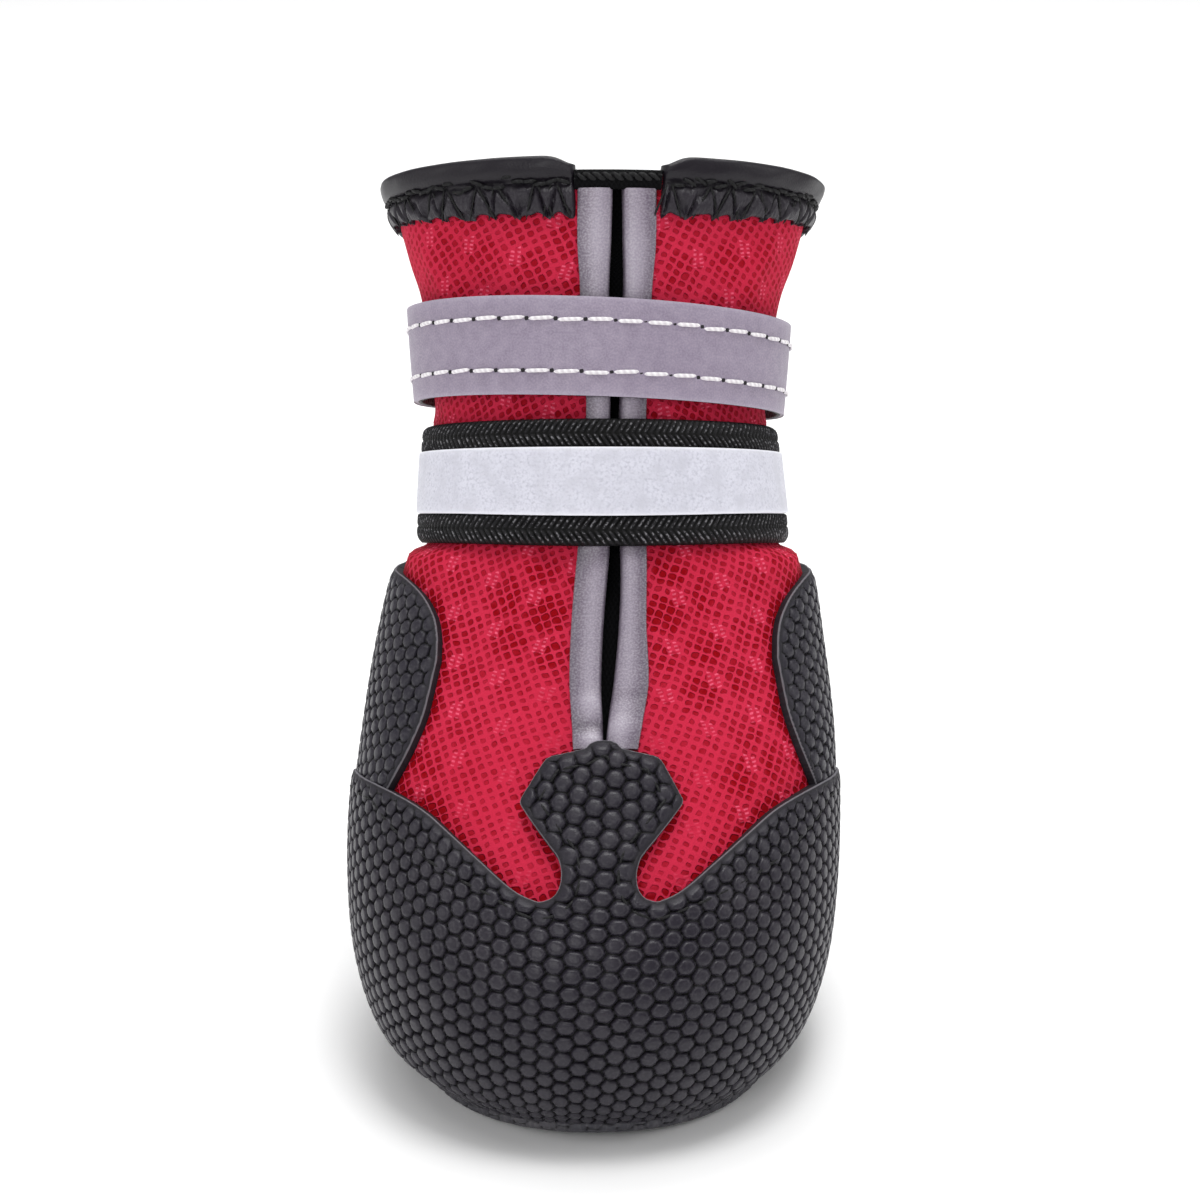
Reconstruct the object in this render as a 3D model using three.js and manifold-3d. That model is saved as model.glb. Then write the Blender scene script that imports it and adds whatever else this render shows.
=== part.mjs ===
// A dog boot of air mesh with a rubber toe and heel, a slit in front and two straps round its shaft.
// Millimetres, +Z up, the toe points to -Y, and the boot stands on its sole at Z = 0.
// Places on the boot are given as [turn, level]: turn is the angle round the boot in degrees, 0 at
// the front, +90 at the +X side and 180 at the back, and level runs from 0 at the foot of the upper
// to 1 at the collar.
import * as THREE from 'three';
import { mergeVertices } from 'three/addons/utils/BufferGeometryUtils.js';
import Module from 'manifold-3d';

const wasm = await Module();
wasm.setup();

// Driving sizes of the last and the pieces
const footLength = 86;
const lastWidth = 68.5;
const collarHeight = 128;
const toeSpring = 2.4;
const springRun = 22;
const clearance = 0.3;
const upperWall = 1.8;
const soleThickness = 3.5;
const insoleThickness = 2;
const capThickness = 1.8;
const counterThickness = 1.2;
const tongueThickness = 1;
const slitGap = 2;
const slitTapeWidth = 4.7;
const slitTapeInside = 3;
const slitTapeThickness = 0.6;
const bindingDrop = 7;
const bindingRise = 2.4;
const bindingPuff = 1.7;
const upperStrapThickness = 1.2;
const upperStrapSlack = 0.9;
const lowerStrapThickness = 1.2;
const lowerStrapSlack = 0.1;
const reflectiveThickness = 0.4;
const grooveWidth = 1.8;
const grooveDepth = 1;
const groovePitch = 8;

// Sections of the last, evenly spaced in level from the sole to the collar.
// front, back: shares of footLength from the toe tip. frontUp, backUp: shares of the upper's height.
// width, sway: shares of lastWidth. widest: share of the section's own length.
// square: 2 is an ellipse, more is squarer.
const lastColumns = ['front', 'back', 'frontUp', 'backUp', 'width', 'widest', 'square', 'sway'];
const lastRows = [
  [0.060, 0.935, 0.000, 0.000, 0.770, 0.47, 2.10, -0.012],
  [0.014, 0.972, 0.039, 0.041, 0.905, 0.47, 2.12, -0.018],
  [0.000, 0.990, 0.103, 0.108, 0.975, 0.47, 2.15, -0.018],
  [0.025, 0.995, 0.186, 0.175, 1.000, 0.46, 2.15, -0.016],
  [0.100, 0.993, 0.273, 0.242, 1.005, 0.46, 2.15, -0.012],
  [0.212, 0.985, 0.366, 0.314, 0.985, 0.46, 2.15, -0.004],
  [0.335, 0.980, 0.464, 0.392, 0.940, 0.47, 2.15, 0.000],
  [0.428, 0.983, 0.551, 0.459, 0.880, 0.48, 2.10, 0.006],
  [0.468, 0.990, 0.600, 0.497, 0.780, 0.48, 2.10, 0.006],
  [0.485, 1.000, 0.634, 0.526, 0.738, 0.49, 2.10, 0.003],
  [0.512, 1.018, 0.696, 0.582, 0.715, 0.50, 2.10, 0.000],
  [0.540, 1.040, 0.758, 0.639, 0.730, 0.50, 2.10, 0.000],
  [0.562, 1.062, 0.809, 0.688, 0.750, 0.50, 2.10, 0.000],
  [0.592, 1.098, 0.881, 0.755, 0.795, 0.50, 2.10, 0.003],
  [0.612, 1.128, 0.928, 0.797, 0.850, 0.50, 2.10, 0.004],
  [0.645, 1.175, 1.000, 0.866, 0.925, 0.50, 2.10, 0.004],
];
const lastTable = lastRows.map((row, i) => [i / (lastRows.length - 1), ...row]);

// The slit: turn of its middle, and how open it is as a share of slitGap
const slitColumns = ['turn', 'open'];
const slitTable = [
  [0.351, 1.0, 0.35],
  [0.378, 1.1, 0.95],
  [0.406, 1.2, 1.25],
  [0.455, 1.5, 1.00],
  [0.515, 1.8, 0.95],
  [0.706, 2.8, 0.75],
  [0.854, 2.5, 1.10],
  [1.000, 1.8, 0.90],
];
const slitFoot = slitTable[0][0];
const slitTapeTop = 0.985;

// The toe cap's upper edge by turn away from the slit's foot, from the notch beside the tab to its corner
const capMiddle = slitTable[0][1];
const capNotch = 11.5;
const capNotchLevel = 0.2485;
const capCorner = 96;
const capEdgeTable = [
  [capNotch, capNotchLevel],
  [16.5, 0.255],
  [25, 0.274],
  [34, 0.291],
  [43, 0.303],
  [56, 0.308],
  [70, 0.306],
  [86, 0.298],
  [capCorner, 0.285],
];

// The side seam between toe cap and heel counter: turn away from the slit's foot at each level
const seamTable = [
  [0.000, 125],
  [0.060, 123],
  [0.130, 119],
  [0.200, 113],
  [0.250, 106],
  [0.285, capCorner],
];

// The tab above the notches: half its breadth in degrees at each level
const tabTable = [
  [capNotchLevel, capNotch],
  [0.253, 8.2],
  [0.266, 7.0],
  [0.279, 7.7],
  [0.291, 10.4],
  [0.304, 14.2],
  [0.316, 17.3],
  [0.331, 15.2],
  [0.345, 12.0],
  [0.351, 8.5],
];

// The heel counter's foremost turns, and its edge in front below them by degrees past them
const counterNose = { left: 43.8, right: 49.4 };
const counterNoseLevel = 0.402;
const counterLowerTable = [
  [0.0, counterNoseLevel],
  [1.7, 0.370],
  [5.5, 0.345],
  [9.0, 0.328],
  [13.0, 0.311],
];

// The heel counter's upper edge by share of the way from its foremost turn to the back
const counterUpperTable = [
  [0.000, counterNoseLevel],
  [0.008, 0.420],
  [0.030, 0.437],
  [0.090, 0.457],
  [0.190, 0.472],
  [0.350, 0.477],
  [1.000, 0.492],
];

// Where the straps and the tape lie: levels of their lower and upper edge at the front
const upperStrapSpan = [0.729, 0.849];
const lowerStrapSpan = [0.524, 0.697];
const reflectiveSpan = [0.558, 0.682];
const upperStrapDip = 0.009;
const strapEnd = 140;
const strapOverlap = 42;
const strapLift = 50;

// Half the tongue's breadth in millimetres at each level
const tongueShoulder = 0.935;
const tongueTable = [
  [0.345, 8],
  [0.400, 12],
  [0.480, 13.5],
  [0.600, 14],
  [tongueShoulder, 13.5],
  [0.945, 5.4],
  [0.985, 5.2],
];

const upperFoot = soleThickness + clearance;
const rimReach = clearance + capThickness;
const columnsRound = 44;
const footLevels = evenly(0, 0.2, 6);
const wallLevels = [...footLevels, 4 / 15, 0.3, 5 / 15, slitFoot, ...evenly(6 / 15, 1, 9)];

// Smooth curve through a table's rows at the value "at" of its first column
function smoothRow(table, at) {
  const last = table.length - 2;
  let i = table.findIndex((row) => row[0] > at) - 1;
  if (i < 0) i = at < table[0][0] ? 0 : last;
  const before = table[Math.max(i - 1, 0)];
  const from = table[i];
  const to = table[i + 1];
  const after = table[Math.min(i + 2, last + 1)];
  const step = to[0] - from[0];
  const t = THREE.MathUtils.clamp((at - from[0]) / step, 0, 1);
  return from.slice(1).map((value, k) => {
    const rise = (to[k + 1] - before[k + 1]) / (to[0] - before[0]) * step;
    const fall = (after[k + 1] - value) / (after[0] - from[0]) * step;
    const t2 = t * t;
    const t3 = t2 * t;
    return value * (2 * t3 - 3 * t2 + 1) + rise * (t3 - 2 * t2 + t)
      + to[k + 1] * (3 * t2 - 2 * t3) + fall * (t3 - t2);
  });
}

function named(columns, values) {
  return Object.fromEntries(columns.map((name, k) => [name, values[k]]));
}

// Straight lines through a table's rows
function plainValue(table, at) {
  const i = THREE.MathUtils.clamp(table.findIndex((row) => row[0] > at), 1, table.length - 1);
  const next = at >= table[table.length - 1][0] ? table.length - 1 : i;
  const [x0, y0] = table[next - 1];
  const [x1, y1] = table[next];
  return y0 + (y1 - y0) * THREE.MathUtils.clamp((at - x0) / (x1 - x0), 0, 1);
}

function evenly(from, to, count) {
  return Array.from({ length: count + 1 }, (_, i) => from + (to - from) * i / count);
}

// The last's surface

function springAt(y) {
  return toeSpring * Math.max(0, 1 - y / springRun) ** 2;
}

function rounded(value, power) {
  return Math.sign(value) * Math.abs(value) ** power;
}

function lastPoint(turn, level) {
  const section = named(lastColumns, smoothRow(lastTable, level));
  const angle = THREE.MathUtils.degToRad(turn);
  const across = rounded(Math.sin(angle), 2 / section.square);
  const along = rounded(Math.cos(angle), 2 / section.square);
  const middle = THREE.MathUtils.lerp(section.front, section.back, section.widest);
  const reach = along > 0 ? middle - section.front : section.back - middle;
  const share = middle - reach * along;
  const backward = (share - section.front) / (section.back - section.front);
  const up = THREE.MathUtils.lerp(section.frontUp, section.backUp, backward);
  const y = footLength * share;
  return new THREE.Vector3(
    lastWidth * (section.width / 2 * across + section.sway),
    y,
    upperFoot + (collarHeight - upperFoot) * up + springAt(y),
  );
}

// Unit vectors of the surface at a place: round it, up it and out of it
function lastFrame(turn, level) {
  const low = Math.max(level - 0.003, 0);
  const high = Math.min(level + 0.003, 1);
  const round = lastPoint(turn + 0.5, level).sub(lastPoint(turn - 0.5, level)).normalize();
  const up = lastPoint(turn, high).sub(lastPoint(turn, low)).normalize();
  const out = new THREE.Vector3().crossVectors(round, up).normalize();
  return { round, up, out };
}

function skin(turn, level, offset) {
  return lastPoint(turn, level).addScaledVector(lastFrame(turn, level).out, offset);
}

// Turn of the place that lies this many millimetres beside the slit's middle
function turnBeside(distance, level) {
  const middle = smoothRow(slitTable, Math.max(level, slitFoot))[0];
  const wanted = lastPoint(middle, level).x + distance;
  let low = middle - 80;
  let high = middle + 80;
  for (let i = 0; i < 40; i++) {
    const half = (low + high) / 2;
    if (lastPoint(half, level).x < wanted) low = half;
    else high = half;
  }
  return (low + high) / 2;
}

// Half the open gap between the two slit tapes
function slitHalf(level) {
  return smoothRow(slitTable, Math.max(level, slitFoot))[1] * slitGap / 2;
}

// Level of the place that lies this far down the surface from the collar
function levelBelowCollar(turn, drop) {
  const edge = lastPoint(turn, 1);
  let low = 0.5;
  let high = 1;
  for (let i = 0; i < 30; i++) {
    const half = (low + high) / 2;
    if (lastPoint(turn, half).distanceTo(edge) > drop) low = half;
    else high = half;
  }
  return (low + high) / 2;
}

// Closed solids

// A geometry from points and triangles, with its faces turned outward
function closedSolid(points, triangles) {
  let volume = 0;
  for (const [a, b, c] of triangles) {
    volume += points[a].dot(new THREE.Vector3().crossVectors(points[b], points[c]));
  }
  const facing = volume < 0 ? triangles.map(([a, b, c]) => [a, c, b]) : triangles;
  const geometry = new THREE.BufferGeometry();
  geometry.setAttribute('position', new THREE.Float32BufferAttribute(points.flatMap((p) => p.toArray()), 3));
  geometry.setIndex(facing.flat());
  geometry.computeVertexNormals();
  return geometry;
}

// A sheet with thickness over grids of [turn, level] places, walled along its free edges
function sheet(grids, inner, outer, place = skin) {
  const ids = new Map();
  const places = [];
  const idOf = (at) => {
    const key = place(...at, outer).toArray().map((v) => Math.round(v * 1000)).join();
    if (!ids.has(key)) {
      ids.set(key, places.length);
      places.push(at);
    }
    return ids.get(key);
  };
  const cells = [];
  for (const grid of grids) {
    const rows = grid.map((row) => row.map(idOf));
    for (let r = 0; r + 1 < rows.length; r++) {
      for (let c = 0; c + 1 < rows[r].length; c++) {
        const [a, b] = [rows[r][c], rows[r][c + 1]];
        const [d, e] = [rows[r + 1][c], rows[r + 1][c + 1]];
        cells.push([a, b, e], [a, e, d]);
      }
    }
  }
  const faces = cells.filter((cell) => new Set(cell).size === 3);
  const edges = new Set(faces.flatMap(([a, b, c]) => [`${a} ${b}`, `${b} ${c}`, `${c} ${a}`]));
  const under = places.length;
  const triangles = [];
  for (const [a, b, c] of faces) triangles.push([a, b, c], [a + under, c + under, b + under]);
  for (const edge of edges) {
    const [a, b] = edge.split(' ').map(Number);
    if (!edges.has(`${b} ${a}`)) triangles.push([b, a, a + under], [b, a + under, b + under]);
  }
  const points = [outer, inner].flatMap((offset) => places.map((at) => place(...at, offset)));
  return closedSolid(points, triangles);
}

// A closed profile of [run, depth] points carried through stations, each a function to a point
function swept(profile, stations) {
  const count = profile.length;
  const points = stations.flatMap((station) => profile.map(([run, depth]) => station(run, depth)));
  const triangles = [];
  for (let s = 0; s + 1 < stations.length; s++) {
    for (let k = 0; k < count; k++) {
      const a = s * count + k;
      const b = s * count + (k + 1) % count;
      triangles.push([a, b, b + count], [a, b + count, a + count]);
    }
  }
  const flat = profile.map(([run, depth]) => new THREE.Vector2(run, depth));
  const end = points.length - count;
  for (const [a, b, c] of THREE.ShapeUtils.triangulateShape(flat, [])) {
    if (THREE.ShapeUtils.isClockWise(flat)) triangles.push([a, b, c], [end + a, end + c, end + b]);
    else triangles.push([a, c, b], [end + a, end + b, end + c]);
  }
  return closedSolid(points, triangles);
}

// A plate from rings of points round the boot, closed on top and below by rungs from side to side
function laddered(rings) {
  const count = rings[0].length;
  const points = rings.flat();
  const triangles = [];
  for (let r = 0; r + 1 < rings.length; r++) {
    for (let k = 0; k < count; k++) {
      const a = r * count + k;
      const b = r * count + (k + 1) % count;
      triangles.push([a, b, b + count], [a, b + count, a + count]);
    }
  }
  const bottom = (rings.length - 1) * count;
  for (let k = 0; k < count / 2; k++) {
    const left = [(count - k) % count, count - k - 1];
    const quads = [[k, k + 1, left[1]], [k, left[1], left[0]]].filter((t) => new Set(t).size === 3);
    for (const [a, b, c] of quads) {
      triangles.push([a, c, b], [bottom + a, bottom + b, bottom + c]);
    }
  }
  return closedSolid(points, triangles);
}

function toManifold(geometry) {
  const bare = new THREE.BufferGeometry();
  bare.setAttribute('position', geometry.attributes.position);
  bare.setIndex(geometry.index);
  const merged = mergeVertices(bare, 1e-4);
  return new wasm.Manifold(new wasm.Mesh({
    numProp: 3,
    vertProperties: new Float32Array(merged.attributes.position.array),
    triVerts: new Uint32Array(merged.index.array),
  }));
}

function fromManifold(solid) {
  const mesh = solid.getMesh();
  const geometry = new THREE.BufferGeometry();
  geometry.setAttribute('position', new THREE.BufferAttribute(new Float32Array(mesh.vertProperties), 3));
  geometry.setIndex(new THREE.BufferAttribute(new Uint32Array(mesh.triVerts), 1));
  geometry.computeVertexNormals();
  return geometry;
}

// Sole and insole

// The sole's rim below the overlays: share of the sole's thickness inward, share of the rim's height
const rimRows = [
  [0.00, 1.00],
  [0.07, 0.55],
  [0.28, 0.18],
  [0.60, 0.00],
];

function soleRings() {
  const turns = evenly(0, 360, columnsRound).slice(0, -1);
  const top = turns.map((turn) => lastPoint(turn, 0).add(new THREE.Vector3(0, 0, -clearance)));
  const lips = turns.map((turn) => {
    const frame = lastFrame(turn, 0);
    const lip = lastPoint(turn, 0).addScaledVector(frame.out, rimReach);
    return lip.addScaledVector(frame.up, -clearance);
  });
  const rims = rimRows.map(([inward, height]) => lips.map((lip, i) => {
    const out = lastFrame(turns[i], 0).out.clone().setZ(0).normalize();
    const point = lip.clone().addScaledVector(out, -inward * soleThickness);
    const floor = springAt(point.y);
    return point.setZ(floor + (lip.z - springAt(lip.y)) * height);
  }));
  return [top, ...rims];
}

// A shallow chevron groove across the sole
function grooveSolid(y, reach, lean) {
  const shape = new THREE.Shape([
    new THREE.Vector2(-reach, y + lean),
    new THREE.Vector2(0, y),
    new THREE.Vector2(reach, y + lean),
    new THREE.Vector2(reach, y + lean + grooveWidth),
    new THREE.Vector2(0, y + grooveWidth),
    new THREE.Vector2(-reach, y + lean + grooveWidth),
  ]);
  const geometry = new THREE.ExtrudeGeometry(shape, { depth: 2 * grooveDepth, bevelEnabled: false });
  geometry.translate(0, 0, -grooveDepth);
  return toManifold(mergeVertices(positionOnly(geometry)));
}

function positionOnly(geometry) {
  const bare = new THREE.BufferGeometry();
  bare.setAttribute('position', geometry.attributes.position);
  if (geometry.index) bare.setIndex(geometry.index);
  return bare;
}

function soleGeometry() {
  const rings = soleRings();
  const outline = rings[rings.length - 1];
  const lean = groovePitch / 2;
  const back = Math.max(...outline.map((p) => p.y)) - groovePitch - lean;
  let sole = toManifold(laddered(rings));
  for (let y = springRun + grooveWidth; y < back; y += groovePitch) {
    const near = outline.filter((p) => p.x > 0 && Math.abs(p.y - y - lean) < groovePitch);
    const reach = Math.min(...near.map((p) => p.x)) - soleThickness;
    sole = sole.subtract(grooveSolid(y, reach, lean));
  }
  return fromManifold(sole);
}

function insoleGeometry() {
  const inset = upperWall + clearance + 0.1;
  const ring = evenly(0, 360, columnsRound).slice(0, -1).map((turn) => skin(turn, 0, -inset));
  const lift = (height) => ring.map((p) => new THREE.Vector3(p.x, p.y, height + springAt(p.y)));
  const seat = soleThickness + clearance;
  return laddered([lift(seat + insoleThickness), lift(seat)]);
}

// Upper and tongue

function upperEdge(side, level) {
  return turnBeside(side * (slitHalf(level) + slitTapeThickness + clearance), level);
}

function upperGeometry() {
  const body = wallLevels.map((level) => {
    const right = upperEdge(1, level);
    const left = upperEdge(-1, level) + 360;
    return evenly(right, left, columnsRound).map((turn) => [turn, level]);
  });
  const bridge = wallLevels.filter((level) => level <= slitFoot).map((level) => {
    const [left, right] = [upperEdge(-1, level), upperEdge(1, level)];
    return evenly(left, right, 2).map((turn) => [turn, level]);
  });
  return sheet([body, bridge], -upperWall, 0);
}

function tongueGeometry() {
  const face = -upperWall - clearance - slitTapeThickness - clearance;
  const foot = tongueTable[0][0];
  const levels = [...evenly(foot, tongueShoulder, 16), ...tongueTable.slice(-2).map((row) => row[0])];
  const rows = levels.map((level) => {
    const half = plainValue(tongueTable, level);
    return evenly(-half, half, 8).map((x) => [turnBeside(x, level), level]);
  });
  return sheet([rows], face - tongueThickness, face);
}

// Toe cap and heel counter

function capTop(away) {
  return smoothRow(capEdgeTable, THREE.MathUtils.clamp(away, capNotch, capCorner))[0];
}

function seamTurn(level) {
  return capMiddle + smoothRow(seamTable, level)[0];
}

// Columns from the notch to the side seam, each with its turn away from the cap's middle and its top level
function capWing() {
  const along = evenly(capNotch, capCorner, 14).map((away) => ({ away, top: capTop(away) }));
  const down = wallLevels.filter((level) => level < capTop(capCorner)).toReversed();
  return [...along, ...down.map((level) => ({ away: seamTurn(level) - capMiddle, top: level }))];
}

function toeCapGeometry() {
  const wing = capWing();
  const mirrored = wing.toReversed().map(({ away, top }) => ({ away: -away, top }));
  const between = evenly(-capNotch, capNotch, 6).slice(1, -1).map((away) => ({ away, top: capNotchLevel }));
  const columns = [...mirrored, ...between, ...wing];
  const levels = [...footLevels, capNotchLevel, 4 / 15, 0.285, 0.3, 0.312];
  const skirt = levels.map((level) => (
    columns.map(({ away, top }) => [capMiddle + away, Math.min(level, top)])
  ));
  const tab = tabTable.map(([level, half]) => (
    evenly(-half, half, 6).map((away) => [capMiddle + away, level])
  ));
  return sheet([skirt, tab], clearance, clearance + capThickness);
}

// Millimetres for a degree of turn and for a whole level at a place
function scaleAt(turn, level) {
  const low = Math.max(level - 0.01, 0);
  return {
    turn: lastPoint(turn + 1, level).distanceTo(lastPoint(turn - 1, level)) / 2,
    level: lastPoint(turn, level + 0.01).distanceTo(lastPoint(turn, low)) / (level + 0.01 - low),
  };
}

// Lower edge of the heel counter over the cap, as a column at each turn away from the front
function counterOverCap(from) {
  const reach = 1.5 * clearance;
  const above = evenly(from, capCorner, 5).map((away) => {
    const scale = scaleAt(away, capTop(away));
    const slope = (capTop(away + 1) - capTop(away - 1)) / 2 * scale.level / scale.turn;
    return { turn: capMiddle + away, low: capTop(away) + reach * Math.hypot(1, slope) / scale.level };
  });
  const levels = wallLevels.filter((level) => level < capTop(capCorner)).toReversed();
  const behind = levels.map((level) => {
    const turn = seamTurn(level);
    const scale = scaleAt(turn, level);
    const slope = (seamTurn(level + 0.01) - seamTurn(level)) / 0.01 * scale.turn / scale.level;
    return { turn: turn + reach * Math.hypot(1, slope) / scale.turn, low: level };
  });
  return [...above, ...behind];
}

function heelCounterGeometry() {
  const half = (nose, mirror) => {
    const foot = counterLowerTable[counterLowerTable.length - 1][0];
    const front = evenly(0, foot, 5).map((past) => (
      { turn: nose + past, low: smoothRow(counterLowerTable, past)[0] }
    ));
    const overCap = counterOverCap(nose + foot + 1);
    const lastTurn = overCap[overCap.length - 1].turn;
    const back = evenly(lastTurn, 180, 7).slice(1).map((turn) => ({ turn, low: 0 }));
    return [...front, ...overCap, ...back].map(({ turn, low }) => {
      const share = (turn - nose) / (180 - nose);
      return { turn: mirror ? 360 - turn : turn, low, high: smoothRow(counterUpperTable, share)[0] };
    });
  };
  const columns = [...half(counterNose.right, false), ...half(counterNose.left, true).toReversed().slice(1)];
  const top = counterUpperTable[counterUpperTable.length - 1][1];
  const levels = [...wallLevels.filter((level) => level < top), top];
  const rows = levels.map((level) => columns.map(({ turn, low, high }) => [
    turn,
    THREE.MathUtils.clamp(level, low, Math.max(low, high)),
  ]));
  return sheet([rows], clearance, clearance + counterThickness);
}

// Bindings

function collarBindingGeometry() {
  const inside = -upperWall - clearance;
  const profile = [
    [bindingDrop, clearance],
    [bindingDrop, clearance + 0.7],
    [bindingDrop * 0.62, clearance + 0.8 * bindingPuff],
    [bindingDrop * 0.2, clearance + bindingPuff],
    [-bindingRise * 0.5, clearance + 0.75 * bindingPuff],
    [-bindingRise * 0.9, 0],
    [-bindingRise, -upperWall / 2],
    [-bindingRise * 0.9, -upperWall],
    [-bindingRise * 0.4, inside - 0.6 * bindingPuff],
    [bindingDrop * 0.3, inside - 0.65 * bindingPuff],
    [bindingDrop * 0.75, inside - 0.6],
    [bindingDrop * 0.75, inside],
    [-clearance, inside],
    [-clearance, clearance],
  ];
  const reach = slitHalf(1) + slitTapeWidth + 2 * clearance;
  const ends = evenly(levelBelowCollar(0, bindingDrop), 1, 4);
  const right = Math.max(...ends.map((level) => turnBeside(reach, level)));
  const left = Math.min(...ends.map((level) => turnBeside(-reach, level)));
  const turns = evenly(right, left + 360, 36);
  const stations = turns.map((turn) => (run, depth) => {
    if (run > 0) return skin(turn, levelBelowCollar(turn, run), depth);
    return skin(turn, 1, depth).addScaledVector(lastFrame(turn, 1).up, -run);
  });
  return swept(profile, stations);
}

function slitBindingGeometry(side) {
  const t = slitTapeThickness;
  const edge = t + clearance;
  const outer = clearance + t;
  const inner = -upperWall - clearance - t;
  const profile = [
    [slitTapeWidth, clearance],
    [slitTapeWidth, outer - 0.2],
    [slitTapeWidth - 0.4, outer],
    [0.4, outer],
    [0, outer - 0.4],
    [0, inner + 0.4],
    [0.4, inner],
    [slitTapeInside, inner],
    [slitTapeInside, inner + t],
    [t, inner + t],
    [t, clearance],
  ];
  const levels = evenly(slitFoot + 0.0015, slitTapeTop, 17);
  const stations = levels.map((level) => (run, depth) => {
    const turn = turnBeside(side * (slitHalf(level) + run), level);
    return skin(turn, level, depth);
  });
  return swept(profile, stations);
}

// Straps

// A band round the shaft, straight between its lower and upper edge, that laps over itself at the back
function strapPlace(span, dip, inner, thickness, slack) {
  const dipped = (turn, level) => level - dip * Math.sin(THREE.MathUtils.degToRad(turn));
  return (turn, share, depth) => {
    const lap = turn - (strapEnd + 360 - strapLift);
    const rise = THREE.MathUtils.smoothstep(lap, 0, strapLift) * (thickness + clearance);
    const aside = Math.abs(Math.sin(THREE.MathUtils.degToRad(turn))) ** 3 * slack;
    const offset = inner + aside + rise + depth;
    const low = skin(turn, dipped(turn, span[0]), offset);
    const high = skin(turn, dipped(turn, span[1]), offset);
    return low.lerp(high, share);
  };
}

function strapGeometry(place, thickness, from, to, low, high) {
  const count = Math.round((to - from) / 9);
  const rows = [low, high].map((share) => evenly(from, to, count).map((turn) => [turn, share]));
  return sheet([rows], 0, thickness, place);
}

const onTapes = clearance + slitTapeThickness + clearance;
const upperStrapPlace = strapPlace(
  upperStrapSpan, upperStrapDip, onTapes, upperStrapThickness, upperStrapSlack,
);
const lowerStrapPlace = strapPlace(
  lowerStrapSpan, 0, onTapes, lowerStrapThickness, lowerStrapSlack,
);

function upperStrapGeometry() {
  const end = strapEnd + 360 + strapOverlap;
  return strapGeometry(upperStrapPlace, upperStrapThickness, strapEnd, end, 0, 1);
}

function lowerStrapGeometry() {
  const end = strapEnd + 360 + strapOverlap;
  return strapGeometry(lowerStrapPlace, lowerStrapThickness, strapEnd, end, 0, 1);
}

function reflectiveTapeGeometry() {
  const outside = lowerStrapThickness + clearance;
  const place = (turn, share, depth) => lowerStrapPlace(turn, share, outside + depth);
  const height = lowerStrapSpan[1] - lowerStrapSpan[0];
  const [low, high] = reflectiveSpan.map((level) => (level - lowerStrapSpan[0]) / height);
  const from = strapEnd + strapOverlap + 9;
  return strapGeometry(place, reflectiveThickness, from, strapEnd + 360 + strapOverlap - 3, low, high);
}

// Assembly
const rubber = { color: '#33323a', roughness: 0.62, metalness: 0 };
const pieces = [
  ['sole', soleGeometry(), { color: '#2c2b31', roughness: 0.7, metalness: 0 }],
  ['insole', insoleGeometry(), { color: '#26262b', roughness: 0.9, metalness: 0 }],
  ['upper', upperGeometry(), { color: '#c5304a', roughness: 0.85, metalness: 0 }],
  ['tongue', tongueGeometry(), { color: '#141417', roughness: 0.85, metalness: 0 }],
  ['toe_cap', toeCapGeometry(), rubber],
  ['heel_counter', heelCounterGeometry(), rubber],
  ['collar_binding', collarBindingGeometry(), { color: '#2b2a2e', roughness: 0.5, metalness: 0 }],
  ['slit_binding_left', slitBindingGeometry(-1), { color: '#95869a', roughness: 0.4, metalness: 0.1 }],
  ['slit_binding_right', slitBindingGeometry(1), { color: '#95869a', roughness: 0.4, metalness: 0.1 }],
  ['upper_strap', upperStrapGeometry(), { color: '#978a9c', roughness: 0.6, metalness: 0.05 }],
  ['lower_strap', lowerStrapGeometry(), { color: '#2e2e32', roughness: 0.85, metalness: 0 }],
  ['reflective_tape', reflectiveTapeGeometry(), { color: '#d8d8e1', roughness: 0.45, metalness: 0.2 }],
];

const boot = new THREE.Group();
for (const [name, geometry, finish] of pieces) {
  const mesh = new THREE.Mesh(geometry, new THREE.MeshStandardMaterial(finish));
  mesh.name = name;
  boot.add(mesh);
}

// The origin is on the floor under the middle of the whole boot
const box = new THREE.Box3().setFromObject(boot);
const middle = box.getCenter(new THREE.Vector3());
boot.position.set(-middle.x, -middle.y, -box.min.z);

export default boot;
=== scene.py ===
# %% [markdown]
# # A dog boot of air mesh, bumpy rubber and reflective ribbon
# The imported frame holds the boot's plain solids. Here each one gets its real surface: pillows on the
# rubber, pinched stitching on the collar, ribs in the webbing. One sculpted mesh would do for a still
# picture, but a boot is sewn from pieces, and separate pieces can be recoloured or changed one by one.

# %% Load the frame
import math

import bpy
import numpy as np
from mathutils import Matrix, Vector, kdtree


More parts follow.
